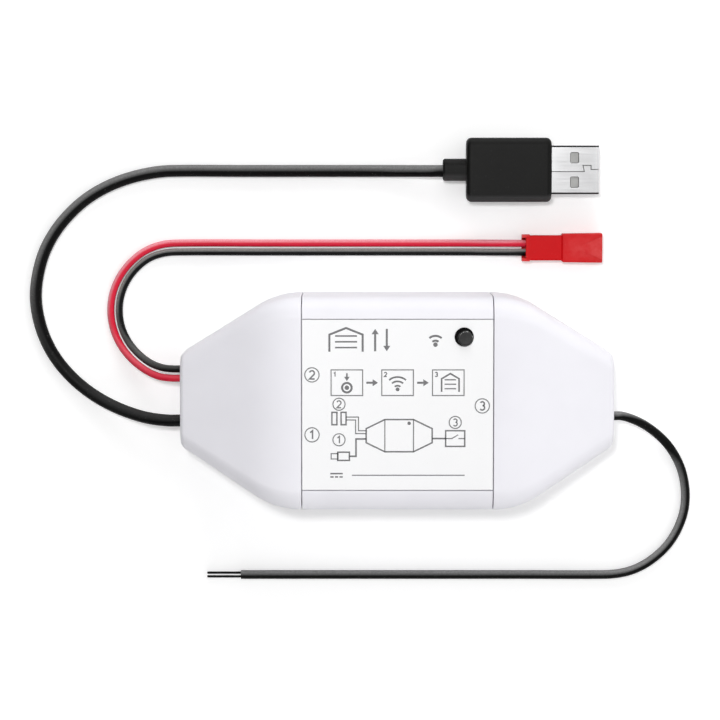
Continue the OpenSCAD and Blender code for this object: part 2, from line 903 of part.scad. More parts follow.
module signal_cord() {
    color("#202020")
        tube(signal_route, signal_d);
}

module signal_cores() {
    color("#181818")
        for (side = [-1, 1])
            rod(cores_at.x - core_l, cores_at.x, cores_at.y + side * core_pitch / 2, cores_at.z, core_d);
}

// Power plug
shell_low = plug_at.z - plug_shell_t / 2;
shell_high = plug_at.z + plug_shell_t / 2;
tongue_low = shell_high - plug_sheet - tongue_t;
shell_r = 0.5;

function shell_outline(inset) =
    round_box(plug_shell_w / 2 - inset, shell_low + inset, shell_high - inset, shell_r);

// Bar along X whose corners are rounded in plan too
module rounded_bar(from, to, w, t, r, plan_r) {
    middle = (from + to) / 2;
    intersection() {
        bar(from, to, round_box(w / 2, plug_at.z - t / 2, plug_at.z + t / 2, r));
        translate([middle, 0, plug_at.z - t])
            linear_extrude(2 * t)
                polygon(round_box((to - from) / 2, -w / 2, w / 2, plan_r));
    }
}

module power_plug_body() {
    neck_r = 2;
    color("#2a2a2a")
        translate([0, plug_at.y, 0])
            difference() {
                union() {
                    rounded_bar(plug_at.x, plug_neck_end + plug_plan_r, plug_neck_w, plug_neck_w,
                        neck_r, neck_plan_r);
                    rounded_bar(plug_neck_end, plug_body_end, plug_body_w, plug_body_t,
                        plug_corner, plug_plan_r);
                }
                bar(plug_body_end - plug_root_l, plug_body_end + cut, shell_outline(0));
            }
}

module power_plug_shell() {
    window_x = plug_shell_end - plug_window_end - plug_window.x / 2;
    color("silver")
        translate([0, plug_at.y, 0])
            difference() {
                bar(plug_body_end - plug_root_l, plug_shell_end, shell_outline(0));
                bar(plug_body_end - plug_root_l - cut, plug_shell_end + cut, shell_outline(plug_sheet));
                for (side = [-1, 1])
                    block([window_x, side * plug_window_y, shell_low - cut],
                        [plug_window.x, plug_window.y, plug_shell_t + 2 * cut]);
            }
}

module power_plug_tongue() {
    mouth_room = 0.4;
    side_room = 0.6;
    tongue_l = plug_root_l + plug_shell_l - mouth_room;
    color("white")
        block([plug_shell_end - mouth_room - tongue_l / 2, plug_at.y, tongue_low],
            [tongue_l, plug_shell_w - 2 * (plug_sheet + side_room), tongue_t]);
}

module power_plug_contacts() {
    strip = [7.5, 1, 0.15];
    tip_room = 1.2;
    color("gold")
        for (y = plug_contact_pitch)
            block([plug_shell_end - tip_room - strip.x / 2, plug_at.y + y, tongue_low - strip.z], strip);
}

// Sensor plug
function pair_outline(w, t, grow, r) =
    round_box(w / 2 + grow, pair_at.z - t / 2 - grow, pair_at.z + t / 2 + grow, r);

module sensor_plug_housing() {
    lip = 0.2;
    lip_t = 0.8;
    lip_y = pair_rear_w / 2 + lip - lip_t / 2;
    shelf_gap = 0.3;
    shelf_t = pair_rear_t / 2 - sensor_d / 2 - shelf_gap;
    edge = 0.4;
    color("crimson")
        translate([0, pair_at.y, 0])
            difference() {
                union() {
                    for (side = [-1, 1])
                        block([pair_at.x, side * lip_y, pair_at.z - pair_rear_t / 2],
                            [2 * pair_lip_l, lip_t, pair_rear_t]);
                    block([pair_at.x, 0, pair_at.z - pair_rear_t / 2], [2 * pair_lip_l, 2 * lip_y, shelf_t]);
                    bar(pair_at.x, pair_step + cut, pair_outline(pair_rear_w, pair_rear_t, 0, edge));
                    bar(pair_step, pair_end, pair_outline(pair_front_w, pair_front_t, 0, edge));
                }
                bar(pair_end - pair_mouth_l, pair_end + cut,
                    pair_outline(pair_front_w, pair_front_t, -pair_wall, edge / 2));
            }
}

module sensor_plug_pins() {
    tip_room = 1.5;
    pin_l = pair_mouth_l - tip_room;
    color("silver")
        for (side = [-1, 1])
            translate([pair_end - tip_room - pin_l / 2, pair_at.y + side * pair_pitch / 2, pair_at.z])
                cube([pin_l, pair_pin, pair_pin], center = true);
}

centre_housing();
left_end_cap();
right_end_cap();
label_plate();
cap_screws();
button_cap();
switch_plunger();
switch_base();
switch_frame();
status_led();
light_pipe();
circuit_board();
radio_board();
radio_shield();
relay_base();
relay_case();
relay_core();
relay_coil();
relay_armature();
relay_contacts();
buzzer();
capacitors();
voltage_regulator();
driver_transistor();
flyback_diode();
chip_components();
power_terminal();
sensor_terminal();
signal_terminal();
power_tail();
signal_tail();
power_leads();
signal_leads();
sensor_leads();
power_collar();
sensor_collar();
signal_collar();
power_cord();
sensor_wire_red();
sensor_wire_black();
signal_cord();
signal_cores();
power_plug_body();
power_plug_shell();
power_plug_tongue();
power_plug_contacts();
sensor_plug_housing();
sensor_plug_pins();
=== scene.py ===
"""Looks of a wireless garage door controller: its case, label, button, leads and plugs.

Sizes are written in millimetres in the case's own frame and turned into metres where meshes are made.
"""
import math

import bmesh
import bpy
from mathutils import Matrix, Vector


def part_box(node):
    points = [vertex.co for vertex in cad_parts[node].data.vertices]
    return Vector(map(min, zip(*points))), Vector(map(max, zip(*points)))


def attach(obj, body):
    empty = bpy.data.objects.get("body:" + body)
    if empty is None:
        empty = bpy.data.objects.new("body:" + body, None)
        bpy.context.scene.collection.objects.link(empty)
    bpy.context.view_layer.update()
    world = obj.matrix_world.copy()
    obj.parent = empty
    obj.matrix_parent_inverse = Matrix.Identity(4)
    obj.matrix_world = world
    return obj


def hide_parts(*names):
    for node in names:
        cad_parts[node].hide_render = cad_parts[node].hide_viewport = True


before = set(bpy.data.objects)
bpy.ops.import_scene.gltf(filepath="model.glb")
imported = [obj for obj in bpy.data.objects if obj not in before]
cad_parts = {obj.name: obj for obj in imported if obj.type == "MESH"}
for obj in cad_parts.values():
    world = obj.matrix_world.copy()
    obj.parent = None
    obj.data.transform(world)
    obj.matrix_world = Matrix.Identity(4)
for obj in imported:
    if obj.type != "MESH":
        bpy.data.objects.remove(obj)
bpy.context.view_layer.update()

MM = 0.001
CASE_BODY = "case"
BUTTON_BODY = "button"


def node_box(node):
    """Lowest and highest corner of a solid, in millimetres."""
    low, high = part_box(node)
    return low / MM, high / MM


def add_object(name, data):
    item = bpy.data.objects.new(name, data)
    bpy.context.scene.collection.objects.link(item)
    return item


# Camera

PHOTO_SIDE = 720
FOCAL_PIXELS = 2802.75
SENSOR_MM = 36
VIEW_TILT = math.radians(4.44)
VIEW_DISTANCE = 700
AIM_POINT = Vector((-9.04, 8.87, 0))


def make_camera():
    lens = bpy.data.cameras.new("photo_camera")
    lens.sensor_width = SENSOR_MM
    lens.lens = FOCAL_PIXELS / PHOTO_SIDE * SENSOR_MM
    lens.clip_start = 0.01
    lens.clip_end = 20
    camera = add_object("photo_camera", lens)
    offset = Vector((0, math.sin(VIEW_TILT), math.cos(VIEW_TILT))) * VIEW_DISTANCE
    camera.location = (AIM_POINT + offset) * MM
    camera.rotation_euler = (-VIEW_TILT, 0, 0)
    bpy.context.scene.camera = camera


make_camera()

# Free leads: the points along the middle of each, as in the solids

POWER_ROUTE = [
    (-53, -5.5, 8), (-56.5, -5.5, 8), (-61.4, -5, 7), (-66.6, -3.7, 5.2), (-71.7, -1.7, 3.4),
    (-76.4, 1, 2.2), (-80.7, 4.5, 1.6), (-84.4, 8.8, 1.5), (-87.2, 13.7, 1.5), (-89, 19.2, 1.5),
    (-89.7, 25, 1.5), (-89, 30.8, 1.5), (-87.3, 36.3, 1.5), (-84.5, 41.3, 1.5), (-80.8, 45.7, 1.5),
    (-76.6, 49.3, 1.5), (-71.8, 52.1, 1.5), (-66.7, 54.1, 1.5), (-61.4, 55.4, 1.5), (-56, 56, 1.5),
    (-38, 56, 1.5), (-18, 56, 1.5), (-4, 56, 1.6), (5, 56, 3.2), (9, 56, 4), (11.4, 56, 4),
]
RED_ROUTE = [
    (-53, 5, 8), (-55.5, 5, 8), (-58.9, 5.4, 7), (-62.3, 6.8, 5), (-65.8, 9.3, 3), (-68.6, 12.6, 1.6),
    (-70.4, 16.5, 1), (-71.1, 20.9, 1), (-70.6, 25.4, 1), (-68.9, 29.6, 1), (-66.1, 33.3, 1),
    (-62.5, 36.1, 1), (-58.3, 37.7, 1), (-53.8, 38.1, 1), (-32, 38.1, 1), (-6, 38.1, 1),
    (18, 38.1, 1.1), (25, 38.1, 2), (29, 38.1, 2.4), (32, 38.1, 2.4),
]
BLACK_ROUTE = [
    (-53, 7.3, 8), (-55.5, 7.3, 8), (-58.2, 7.6, 7), (-61.3, 8.7, 5), (-64.4, 10.9, 3), (-66.8, 13.7, 1.6),
    (-68.4, 17.1, 1), (-69, 20.9, 1), (-68.6, 24.8, 1), (-67.1, 28.6, 1), (-64.7, 31.8, 1),
    (-61.5, 34.3, 1), (-57.8, 35.6, 1), (-53.8, 35.9, 1), (-32, 35.9, 1), (-6, 35.9, 1),
    (18, 35.9, 1.1), (25, 35.9, 2), (29, 35.9, 2.4), (32, 35.9, 2.4),
]
SIGNAL_ROUTE = [
    (53, -4.4, 8), (55.7, -4.4, 8), (59, -5.5, 7), (62.1, -7.2, 5.2), (65, -9.4, 3.4), (67.6, -12, 2),
    (69.7, -15, 1.3), (71.2, -18.2, 1.1), (72.1, -21.7, 1.1), (72.4, -25.2, 1.1), (72.1, -28.7, 1.1),
    (71.1, -32.1, 1.1), (69.6, -35.2, 1.1), (67.6, -38, 1.1), (65.1, -40.4, 1.1), (62.3, -42.4, 1.1),
    (59.1, -43.9, 1.1), (55.8, -44.7, 1.1), (52.4, -45, 1.1), (30, -45, 1.1), (8, -45, 1.1),
    (-16, -45, 1.1), (-38.9, -45, 1.1),
]

# For each lead: its route, diameter, length in metres, finish, slot, solid, far end and stiffness
LEADS = {
    "power_lead":
        (POWER_ROUTE, 3.0, 0.1723, "cord_black", "cord_black", "power_cord", "plug", "medium"),
    "red_sensor_wire":
        (RED_ROUTE, 1.8, 0.1417, "wire_red", "wire_red", "sensor_wire_red", "connector", "limp"),
    "black_sensor_wire":
        (BLACK_ROUTE, 1.8, 0.1352, "wire_black", "cord_black", "sensor_wire_black", "connector", "limp"),
    "signal_lead":
        (SIGNAL_ROUTE, 2.2, 0.1553, "signal_black", "cord_black", "signal_cord", "bare", "medium"),
}


def lead_curve(name, route, diameter):
    """Round lead along a route: a smooth spline that leaves both of its ends along X."""
    points = [Vector(p) * MM for p in route]
    line = bpy.data.curves.new(name, "CURVE")
    line.dimensions = "3D"
    line.bevel_depth = diameter / 2 * MM
    line.bevel_resolution = 7
    line.resolution_u = 16
    line.use_fill_caps = True
    spline = line.splines.new("BEZIER")
    last = len(points) - 1
    spline.bezier_points.add(last)
    for i, knot in enumerate(spline.bezier_points):
        before = points[max(i - 1, 0)]
        after = points[min(i + 1, last)]
        along = (after - before).normalized()
        knot.co = points[i]
        knot.handle_left_type = knot.handle_right_type = "FREE"
        knot.handle_left = points[i] - along * (points[i] - before).length / 3
        knot.handle_right = points[i] + along * (after - points[i]).length / 3
    return add_object(name, line)


leads = {name: lead_curve(name, route, diameter) for name, (route, diameter, *_) in LEADS.items()}

# Shader nodes


def feed(socket, value):
    """Link a socket into an input, or set the input to a plain value."""
    if isinstance(value, bpy.types.NodeSocket):
        socket.id_data.links.new(value, socket)
    else:
        socket.default_value = value


def add_node(tree, kind, inputs, **settings):
    """Shader node with its settings, and its inputs fed by sockets or plain values."""
    node = tree.nodes.new("ShaderNode" + kind)
    for label, value in settings.items():
        setattr(node, label, value)
    for label, value in inputs.items():
        feed(node.inputs[label], value)
    return node


def add_math(operation, a, b):
    return add_node(a.id_data, "Math", {0: a, 1: b}, operation=operation).outputs[0]


def times(product, *factors):
    for factor in factors:
        product = add_math("MULTIPLY", product, factor)
    return product


def coordinates(tree, kind="Object"):
    return tree.nodes.new("ShaderNodeTexCoord").outputs[kind]


def parts_of(vector):
    """The parts of a vector along X, Y and Z."""
    return add_node(vector.id_data, "SeparateXYZ", {0: vector}).outputs


def add_noise(tree, scale, detail, place=None):
    """Noise at a place, or else at the piece's own coordinates."""
    inputs = {"Vector": place or coordinates(tree), "Scale": scale, "Detail": detail}
    return add_node(tree, "TexNoise", inputs).outputs["Fac"]


def spread(mask, low, high, start=0.3, end=0.7):
    """Value that runs from low to high as a mask goes from start to end."""
    inputs = {"Value": mask, "From Min": start, "From Max": end, "To Min": low, "To Max": high}
    return add_node(mask.id_data, "MapRange", inputs).outputs[0]


def about(mask, middle, stray):
    """Value that strays either way from a middle with a mask."""
    return spread(mask, middle - stray, middle + stray)


def clamp(value):
    return add_node(value.id_data, "Clamp", {0: value}).outputs[0]


def srgb(*levels):
    """Linear colour from display levels of 0 to 255."""
    steps = [level / 255 for level in levels]
    return tuple(s / 12.92 if s <= 0.04045 else ((s + 0.055) / 1.055) ** 2.4 for s in steps) + (1.0,)


def mix_colours(mask, first, second):
    """Colour that goes from first to second with a mask. Each is display levels or a socket."""
    a, b = [srgb(*colour) if isinstance(colour, tuple) else colour for colour in (first, second)]
    return add_node(mask.id_data, "Mix", {"Factor": mask, 6: a, 7: b}, data_type="RGBA").outputs[2]


# Shader groups that several finishes share


def make_group(name, inputs, fill):
    """Shader group with named inputs. fill adds its nodes and returns its outputs by name."""
    group = bpy.data.node_groups.new(name, "ShaderNodeTree")
    for label, value in inputs.items():
        socket = group.interface.new_socket(label, in_out="INPUT", socket_type="NodeSocketFloat")
        socket.default_value = value
    outputs = fill(group, group.nodes.new("NodeGroupInput").outputs)
    for label in outputs:
        group.interface.new_socket(label, in_out="OUTPUT", socket_type="NodeSocketFloat")
    ends = group.nodes.new("NodeGroupOutput").inputs
    for label, value in outputs.items():
        feed(ends[label], value)
    return group


def grain_nodes(group, inputs):
    """Fine spark-eroded texture of moulded plastic, with a slow mottle below it."""
    mottle_scale = 90.0
    fine = add_noise(group, inputs["Grain Scale"], 3)
    return {"Height": fine, "Mottle": add_noise(group, mottle_scale, 2)}


def line_nodes(group, inputs):
    """Long fine lines along X, as on drawn sheet metal."""
    x, y, z = parts_of(coordinates(group))
    place = add_node(group, "CombineXYZ", {0: times(x, inputs["Stretch"]), 1: y, 2: z}).outputs[0]
    return {"Height": add_noise(group, inputs["Line Scale"], 2, place)}


def lean_nodes(group, inputs):
    """How far the surface faces a direction of the piece, from -1 to 1."""
    total = 0.0
    for part, share in zip(parts_of(coordinates(group, "Normal")), inputs):
        total = add_math("ADD", times(part, share), total)
    return {"Lean": total}


def edge_wear_and_highlight_nodes(group, inputs):
    """Mask of convex edges, broken up by a noise: edges that handling rubs, and on the button a painted
    highlight round its rim.
    """
    flat, gain, patch_scale = 0.52, 9.0, 700.0
    bend = group.nodes.new("ShaderNodeNewGeometry").outputs["Pointiness"]
    edge = times(add_math("SUBTRACT", bend, flat), gain)
    return {"Mask": clamp(times(edge, add_noise(group, patch_scale, 3), inputs["Amount"]))}


def dust_nodes(group, inputs):
    """Mask of a few fine specks that settle on the surface."""
    level, gain, speck_scale, patch_scale = 0.68, 8.0, 2600.0, 120.0
    specks = times(add_math("SUBTRACT", add_noise(group, speck_scale, 1), level), gain)
    return {"Mask": clamp(times(specks, add_noise(group, patch_scale, 2), inputs["Cover"]))}


moulded_grain = make_group("moulded_grain", {"Grain Scale": 6000.0}, grain_nodes)
drawn_lines = make_group("drawn_lines", {"Line Scale": 5000.0, "Stretch": 0.02}, line_nodes)
surface_lean = make_group("surface_lean", {"Lean X": 0.0, "Lean Y": 0.0, "Lean Z": 0.0}, lean_nodes)
edge_wear_and_highlight = make_group("edge_wear_and_highlight", {"Amount": 1.0}, edge_wear_and_highlight_nodes)
dust = make_group("dust", {"Cover": 0.25}, dust_nodes)


def place_group(tree, group, **values):
    """Outputs of a shader group, with its inputs given as words joined by underscores."""
    inputs = {label.replace("_", " ").title(): value for label, value in values.items()}
    return add_node(tree, "Group", inputs, node_tree=group).outputs


def facing(tree, start, end, **direction):
    """Mask of how far the surface faces a direction, between a start and an end."""
    return spread(place_group(tree, surface_lean, **direction)["Lean"], 0.0, 1.0, start, end)


def upper_side(tree, lean_x, lean_y, start, end):
    """Mask of the upper surfaces that lean towards a direction in plan."""
    side = facing(tree, start, end, lean_x=lean_x, lean_y=lean_y)
    return times(side, facing(tree, start=0.05, end=0.4, lean_z=1.0))


def along_axis(tree, axis, low, high, start, end):
    """Value that runs from low to high between two places along an axis, in millimetres."""
    return spread(parts_of(coordinates(tree))[axis], low, high, start * MM, end * MM)


# Finishes

DUST_COLOUR = (205, 203, 198)
RUBBED_METAL = (245, 244, 240)
# Direction in plan of the side that carries the jackets' painted sheen
PAINTED_SHEEN_SIDE = (-0.66, 0.75)


def new_finish(name, uniform=None):
    """Material and its node tree, with uniform values set on the shader."""
    material = bpy.data.materials.new(name)
    material.use_nodes = True
    for label, value in (uniform or {}).items():
        material.node_tree.nodes["Principled BSDF"].inputs[label].default_value = value
    return material, material.node_tree


def set_surface(material, colour, gloss, height=None, depth=0.0):
    """Feed a finish's colour, its gloss and its relief, which has a depth in millimetres."""
    inputs = material.node_tree.nodes["Principled BSDF"].inputs
    feed(inputs["Base Color"], colour)
    feed(inputs["Roughness"], gloss)
    if height:
        bump = add_node(material.node_tree, "Bump", {"Distance": depth * MM, "Height": height})
        feed(inputs["Normal"], bump.outputs[0])
    return material


def overlay(material, mask, colour, roughness=0.0):
    """Lay a colour, and at least a roughness, over a finish where a mask says so."""
    inputs = material.node_tree.nodes["Principled BSDF"].inputs
    under, gloss = [inputs[label].links[0].from_socket for label in ("Base Color", "Roughness")]
    dulled = add_math("MAXIMUM", gloss, times(mask, roughness))
    set_surface(material, mix_colours(mask, under, colour), dulled)


def mottled(mask, colour, shade):
    return mix_colours(spread(mask, 0.0, 1.0), colour, shade)


def dusted(tree, colour, cover):
    return mix_colours(place_group(tree, dust, cover=cover)["Mask"], colour, DUST_COLOUR)


def edges_worn_and_highlit(tree, colour, amount, worn_and_highlight_colour):
    return mix_colours(place_group(tree, edge_wear_and_highlight, amount=amount)["Mask"], colour, worn_and_highlight_colour)


def moulded_plastic(name, colour, shade, worn_and_highlight_colour, roughness, grain=6000.0, depth=0.02,
                    rub_and_highlight=1.0, cover=0.2, shine=0.5):
    """Moulded plastic: mottled colour, rubbed edges (on the button a painted highlight round the rim), a few
    specks and a fine grain.
    """
    material, tree = new_finish(name, {"Specular IOR Level": shine})
    grains = place_group(tree, moulded_grain, grain_scale=grain)
    with_edge_wear_and_highlight = edges_worn_and_highlit(tree, mottled(grains["Mottle"], colour, shade), rub_and_highlight, worn_and_highlight_colour)
    gloss = about(grains["Height"], roughness, stray=0.05)
    return set_surface(material, dusted(tree, with_edge_wear_and_highlight, cover), gloss, grains["Height"], depth)


def metal_grain(tree, stretch):
    """Fine drawn lines and slow clouds of a plated metal."""
    lines = place_group(tree, drawn_lines, line_scale=4000.0, stretch=stretch)["Height"]
    return lines, place_group(tree, moulded_grain, grain_scale=3000.0)["Mottle"]


def drawn_metal(name, colour, shade, roughness, stretch=0.02):
    """Plated sheet, wire or pins: fine drawn lines in its colour, gloss and relief."""
    material, tree = new_finish(name, {"Metallic": 1.0})
    lines, clouds = metal_grain(tree, stretch)
    gloss = add_math("ADD", about(lines, roughness, stray=0.06), about(clouds, 0.0, stray=0.03))
    with_edge_wear_and_highlight = edges_worn_and_highlit(tree, mottled(lines, colour, shade), amount=0.5, worn_and_highlight_colour=RUBBED_METAL)
    return set_surface(material, with_edge_wear_and_highlight, gloss, lines, depth=0.004)


def jacket(name, colour, shade, painted_sheen, reach, roughness, shine, dark_y=-100.0, light_y=-90.0):
    """Soft extruded jacket of a lead with a faint orange peel, and a painted sheen: its colour is lightened
    on the upper side that leans towards -X and +Y, as if lit from there.

    The painted sheen fades out towards the case, between two places along Y.
    """
    material, tree = new_finish(name, {"Specular IOR Level": shine})
    grains = place_group(tree, moulded_grain, grain_scale=2400.0)
    kept = along_axis(tree, "Y", low=0.15, high=1.0, start=dark_y, end=light_y)
    peel = spread(grains["Height"], low=0.7, high=1.0)
    # Painted sheen: the jacket's colour is lightened on the upper side that leans towards -X and +Y
    amount = times(upper_side(tree, *PAINTED_SHEEN_SIDE, start=reach, end=0.48), kept, peel)
    with_painted_sheen = mix_colours(amount, mottled(grains["Mottle"], colour, shade), painted_sheen)
    gloss = about(grains["Height"], roughness, stray=0.06)
    return set_surface(material, dusted(tree, with_painted_sheen, cover=0.15), gloss, grains["Height"], depth=0.03)


def sheet_steel():
    """Plated sheet of the plug's shell: slow clouding, fine drawn lines, and painted dark reflection on its
    upright folds and cut edges.
    """
    material, tree = new_finish("plug_steel", {"Metallic": 1.0})
    lines, clouds = metal_grain(tree, stretch=0.02)
    upright = add_math("ABSOLUTE", place_group(tree, surface_lean, lean_z=1.0)["Lean"], 0.0)
    plated = mottled(clouds, (246, 246, 247), (226, 226, 227))
    # Painted dark reflection: faces that stand upright go near black
    painted_dark_reflection = mix_colours(spread(upright, 0.0, 1.0, start=0.92, end=0.995), (30, 30, 32), plated)
    return set_surface(material, painted_dark_reflection, about(lines, 0.205, stray=0.02), lines, depth=0.0006)


def board_laminate():
    """Green solder mask over a grid of copper tracks."""
    material, tree = new_finish("board_laminate")
    colours = {"Color1": srgb(22, 92, 52), "Color2": srgb(26, 100, 58), "Mortar": srgb(52, 138, 82)}
    layout = {"Vector": coordinates(tree), "Scale": 260.0, "Mortar Size": 0.03}
    tracks = add_node(tree, "TexBrick", {**layout, **colours}).outputs
    gloss = about(place_group(tree, moulded_grain, grain_scale=3000.0)["Height"], 0.3, stray=0.05)
    return set_surface(material, tracks["Color"], gloss, tracks["Fac"], depth=-0.03)


def clear_pipe():
    """Clear moulded light pipe with faint flow lines."""
    material, tree = new_finish("clear_pipe", {"Transmission Weight": 0.9, "IOR": 1.49})
    grains = place_group(tree, moulded_grain, grain_scale=900.0)
    tint = mottled(grains["Mottle"], (240, 246, 248), (226, 236, 242))
    return set_surface(material, tint, about(grains["Height"], 0.07, stray=0.03))


def wound_copper():
    """Enamelled wire in close turns round the coil."""
    material, tree = new_finish("wound_copper", {"Metallic": 1.0})
    turns = add_node(tree, "TexWave", {"Vector": coordinates(tree), "Scale": 1100.0}).outputs["Fac"]
    enamel = mix_colours(turns, (120, 62, 30), (206, 122, 70))
    return set_surface(material, enamel, spread(turns, low=0.45, high=0.3), turns, depth=0.08)


# Plastics: colour, shade, worn edge (on the button a painted rim highlight), roughness, grain, depth of
# grain, rub, dust and shine
PLASTICS = {
    "case_white": ((244, 243, 249), (241, 240, 246), (248, 247, 252), 0.48, 5000.0, 0.006),
    "label_white": ((252, 252, 253), (250, 250, 251), (252, 252, 253), 0.42, 3000.0, 0.004),
    "print_grey": ((103, 103, 105), (112, 112, 114), (112, 112, 114), 0.5, 9000.0, 0.004),
    # The button's bright worn-edge colour and strong rub paint a highlight round its rim
    "button_black": ((34, 34, 34), (30, 30, 30), (170, 170, 170), 0.24, 7000.0, 0.004, 4.0, 0.04, 0.45),
    "plug_black": ((13, 13, 12), (11, 11, 10), (40, 40, 40), 0.5, 5200.0, 0.02, 1.0, 0.04, 0.15),
    "plug_red": ((208, 12, 20), (203, 9, 17), (222, 84, 84), 0.4, 4000.0, 0.012, 1.0, 0.08, 0.1),
    "part_black": ((34, 34, 36), (28, 28, 30), (60, 60, 62), 0.5),
    "relay_blue": ((38, 78, 170), (32, 70, 158), (90, 122, 190), 0.35),
    "terminal_green": ((40, 128, 86), (34, 118, 78), (86, 160, 124), 0.4),
    "can_dark": ((40, 44, 66), (34, 38, 58), (92, 96, 112), 0.3),
    "chip_ceramic": ((196, 172, 132), (186, 160, 120), (210, 192, 160), 0.55),
    # The tongue is white plastic: its grey is painted shade, for the shadow it lies in behind the shell's
    # windows
    "tongue_white": ((158, 158, 156), (152, 152, 150), (170, 170, 168), 0.4),
    "core_black": ((5, 5, 5), (3, 3, 3), (9, 9, 9), 0.5, 6000.0, 0.02, 1.0, 0.0, 0.1),
}
# Jackets: colour, shade, painted sheen colour, reach of the painted sheen, roughness, shine, and where the
# painted sheen fades out
JACKETS = {
    "cord_black": ((5, 5, 5), (3, 3, 3), (130, 130, 130), -0.08, 0.5, 0.1, 4.0, 34.0),
    "signal_black": ((5, 5, 5), (3, 3, 3), (140, 140, 140), -0.14, 0.5, 0.1),
    "wire_red": ((222, 34, 62), (214, 28, 56), (248, 160, 172), 0.0, 0.42, 0.2, 6.0, 24.0),
    "wire_black": ((14, 14, 15), (10, 10, 11), (150, 150, 148), -0.05, 0.42, 0.12, 6.0, 24.0),
}
# Metals: colour, shade, roughness and stretch of the drawn lines
METALS = {
    "tin_steel": ((205, 206, 208), (188, 189, 192), 0.35),
    "screw_steel": ((196, 197, 200), (172, 173, 178), 0.32, 1.0),
    "contact_gold": ((232, 190, 98), (214, 168, 76), 0.25),
}
finishes = {
    "plug_steel": sheet_steel(),
    "board_laminate": board_laminate(),
    "clear_pipe": clear_pipe(),
    "wound_copper": wound_copper(),
}
for make, table in ((moulded_plastic, PLASTICS), (jacket, JACKETS), (drawn_metal, METALS)):
    for name, values in table.items():
        finishes[name] = make(name, *values)

# The plug's near side gets a painted sheen, and the button is dull with painted shade down in its hole
plug_painted_sheen = upper_side(finishes["plug_black"].node_tree, 0.0, -1.0, start=0.02, end=0.4)
# Painted shade: the button goes near black and dull below the label's level, down in its hole
painted_hole_shade = along_axis(finishes["button_black"].node_tree, "Z", low=1.0, high=0.0, start=25.4, end=26.2)
overlay(finishes["plug_black"], plug_painted_sheen, (56, 56, 56))
overlay(finishes["button_black"], painted_hole_shade, (2, 2, 2), roughness=0.95)

# Building pieces

CREASE = 35
CUT_PAST = 1.0
MITRE_LIMIT = 0.3


def evenly(start, end, count):
    """Evenly spaced values from start to end."""
    return [start + (end - start) * i / count for i in range(count + 1)]


def arc(middle, radius, start, end, steps=20):
    """Points along an arc between two angles in degrees."""
    x, y = middle
    turns = [math.radians(turn) for turn in evenly(start, end, steps)]
    return [(x + radius * math.cos(turn), y + radius * math.sin(turn)) for turn in turns]


def quarter(x, y, radius, start, steps):
    return arc((x, y), radius, start, start + 90, steps)


def round_steps(radius, count=6):
    """Distances and insets along a quarter-round, from its start to its full size."""
    return [(radius - x, radius - y) for x, y in quarter(0, 0, radius, 0, count)]


def new_piece(name, shape):
    """Object in metres from a bmesh that was built in millimetres."""
    bmesh.ops.recalc_face_normals(shape, faces=shape.faces)
    bmesh.ops.scale(shape, vec=(MM, MM, MM), verts=shape.verts)
    mesh = bpy.data.meshes.new(name)
    shape.to_mesh(mesh)
    shape.free()
    return add_object(name, mesh)


def smooth_faces(piece, crease=CREASE):
    """Smooth shading, with the edges that turn by more than crease degrees left crisp."""
    piece.data.shade_smooth()
    piece.data.set_sharp_from_angle(angle=math.radians(crease))
    normals = piece.modifiers.new("even_normals", "WEIGHTED_NORMAL")
    normals.keep_sharp = True
    return piece


def round_edges(piece, radius, crease):
    """Round the crisp edges by a radius in millimetres and keep the flats flat."""
    piece.data.shade_smooth()
    edge = piece.modifiers.new("edge_round", "BEVEL")
    edge.limit_method = "ANGLE"
    edge.angle_limit = math.radians(crease)
    edge.width = radius * MM
    edge.segments = 3
    piece.modifiers.new("even_normals", "WEIGHTED_NORMAL")
    return piece


def loft(shape, rings, loop=False):
    """Skin of quads through rings of equal counts, or round a loop of them. Returns the rings of corners."""
    rows = [[shape.verts.new(p) for p in ring] for ring in rings]
    for a, b in zip(rows, rows[1:] + rows[:loop]):
        for i in range(len(a)):
            j = (i + 1) % len(a)
            shape.faces.new((a[i], a[j], b[j], b[i]))
    return rows


def solid(*skins):
    """Bmesh of skins through rings, each closed by a flat face at both ends."""
    shape = bmesh.new()
    for rings in skins:
        rows = loft(shape, rings)
        shape.faces.new(rows[0])
        shape.faces.new(rows[-1])
    return shape


def circle(middle, radius, axis, steps=48):
    """Ring of points round a middle, square to the X, Y or Z axis."""
    ring = []
    for point in arc((0, 0), radius, 0, 360, steps)[:-1]:
        place = list(point)
        place.insert("XYZ".index(axis), 0.0)
        ring.append(Vector(middle) + Vector(place))
    return ring


def block(low, high):
    """Rings of a box between two corners."""
    (x0, y0, z0), (x1, y1, z1) = low, high
    foot = [(x0, y0, z0), (x1, y0, z0), (x1, y1, z0), (x0, y1, z0)]
    return [foot, [(x, y, z1) for x, y, z in foot]]


def turned(middle, profile, steps=64):
    """Rings of a turned solid round an upright axis, from (radius, height) pairs."""
    return [circle((*middle, z), r, "Z", steps) for r, z in profile]


def ribbon(path, width, low, high, foot=1.0):
    """Rings of a ribbon along (x, y) points, with mitred corners and a foot share of its width below."""
    sides = [[], []]
    for i, point in enumerate(path):
        here = Vector(point)
        into = (here - Vector(path[i - 1])).normalized() if i else None
        out = (Vector(path[i + 1]) - here).normalized() if i + 1 < len(path) else into
        into = into or out
        across = Vector((-into.y - out.y, into.x + out.x)).normalized()
        reach = width / 2 / max(across.dot(Vector((-out.y, out.x))), MITRE_LIMIT)
        for side, sign in zip(sides, (1, -1)):
            side.append(here + across * reach * sign)
    rings = []
    for left, right in zip(*sides):
        inset = (right - left) * (1 - foot) / 2
        rings.append([(*(left + inset), low), (*(right - inset), low), (*right, high), (*left, high)])
    return rings


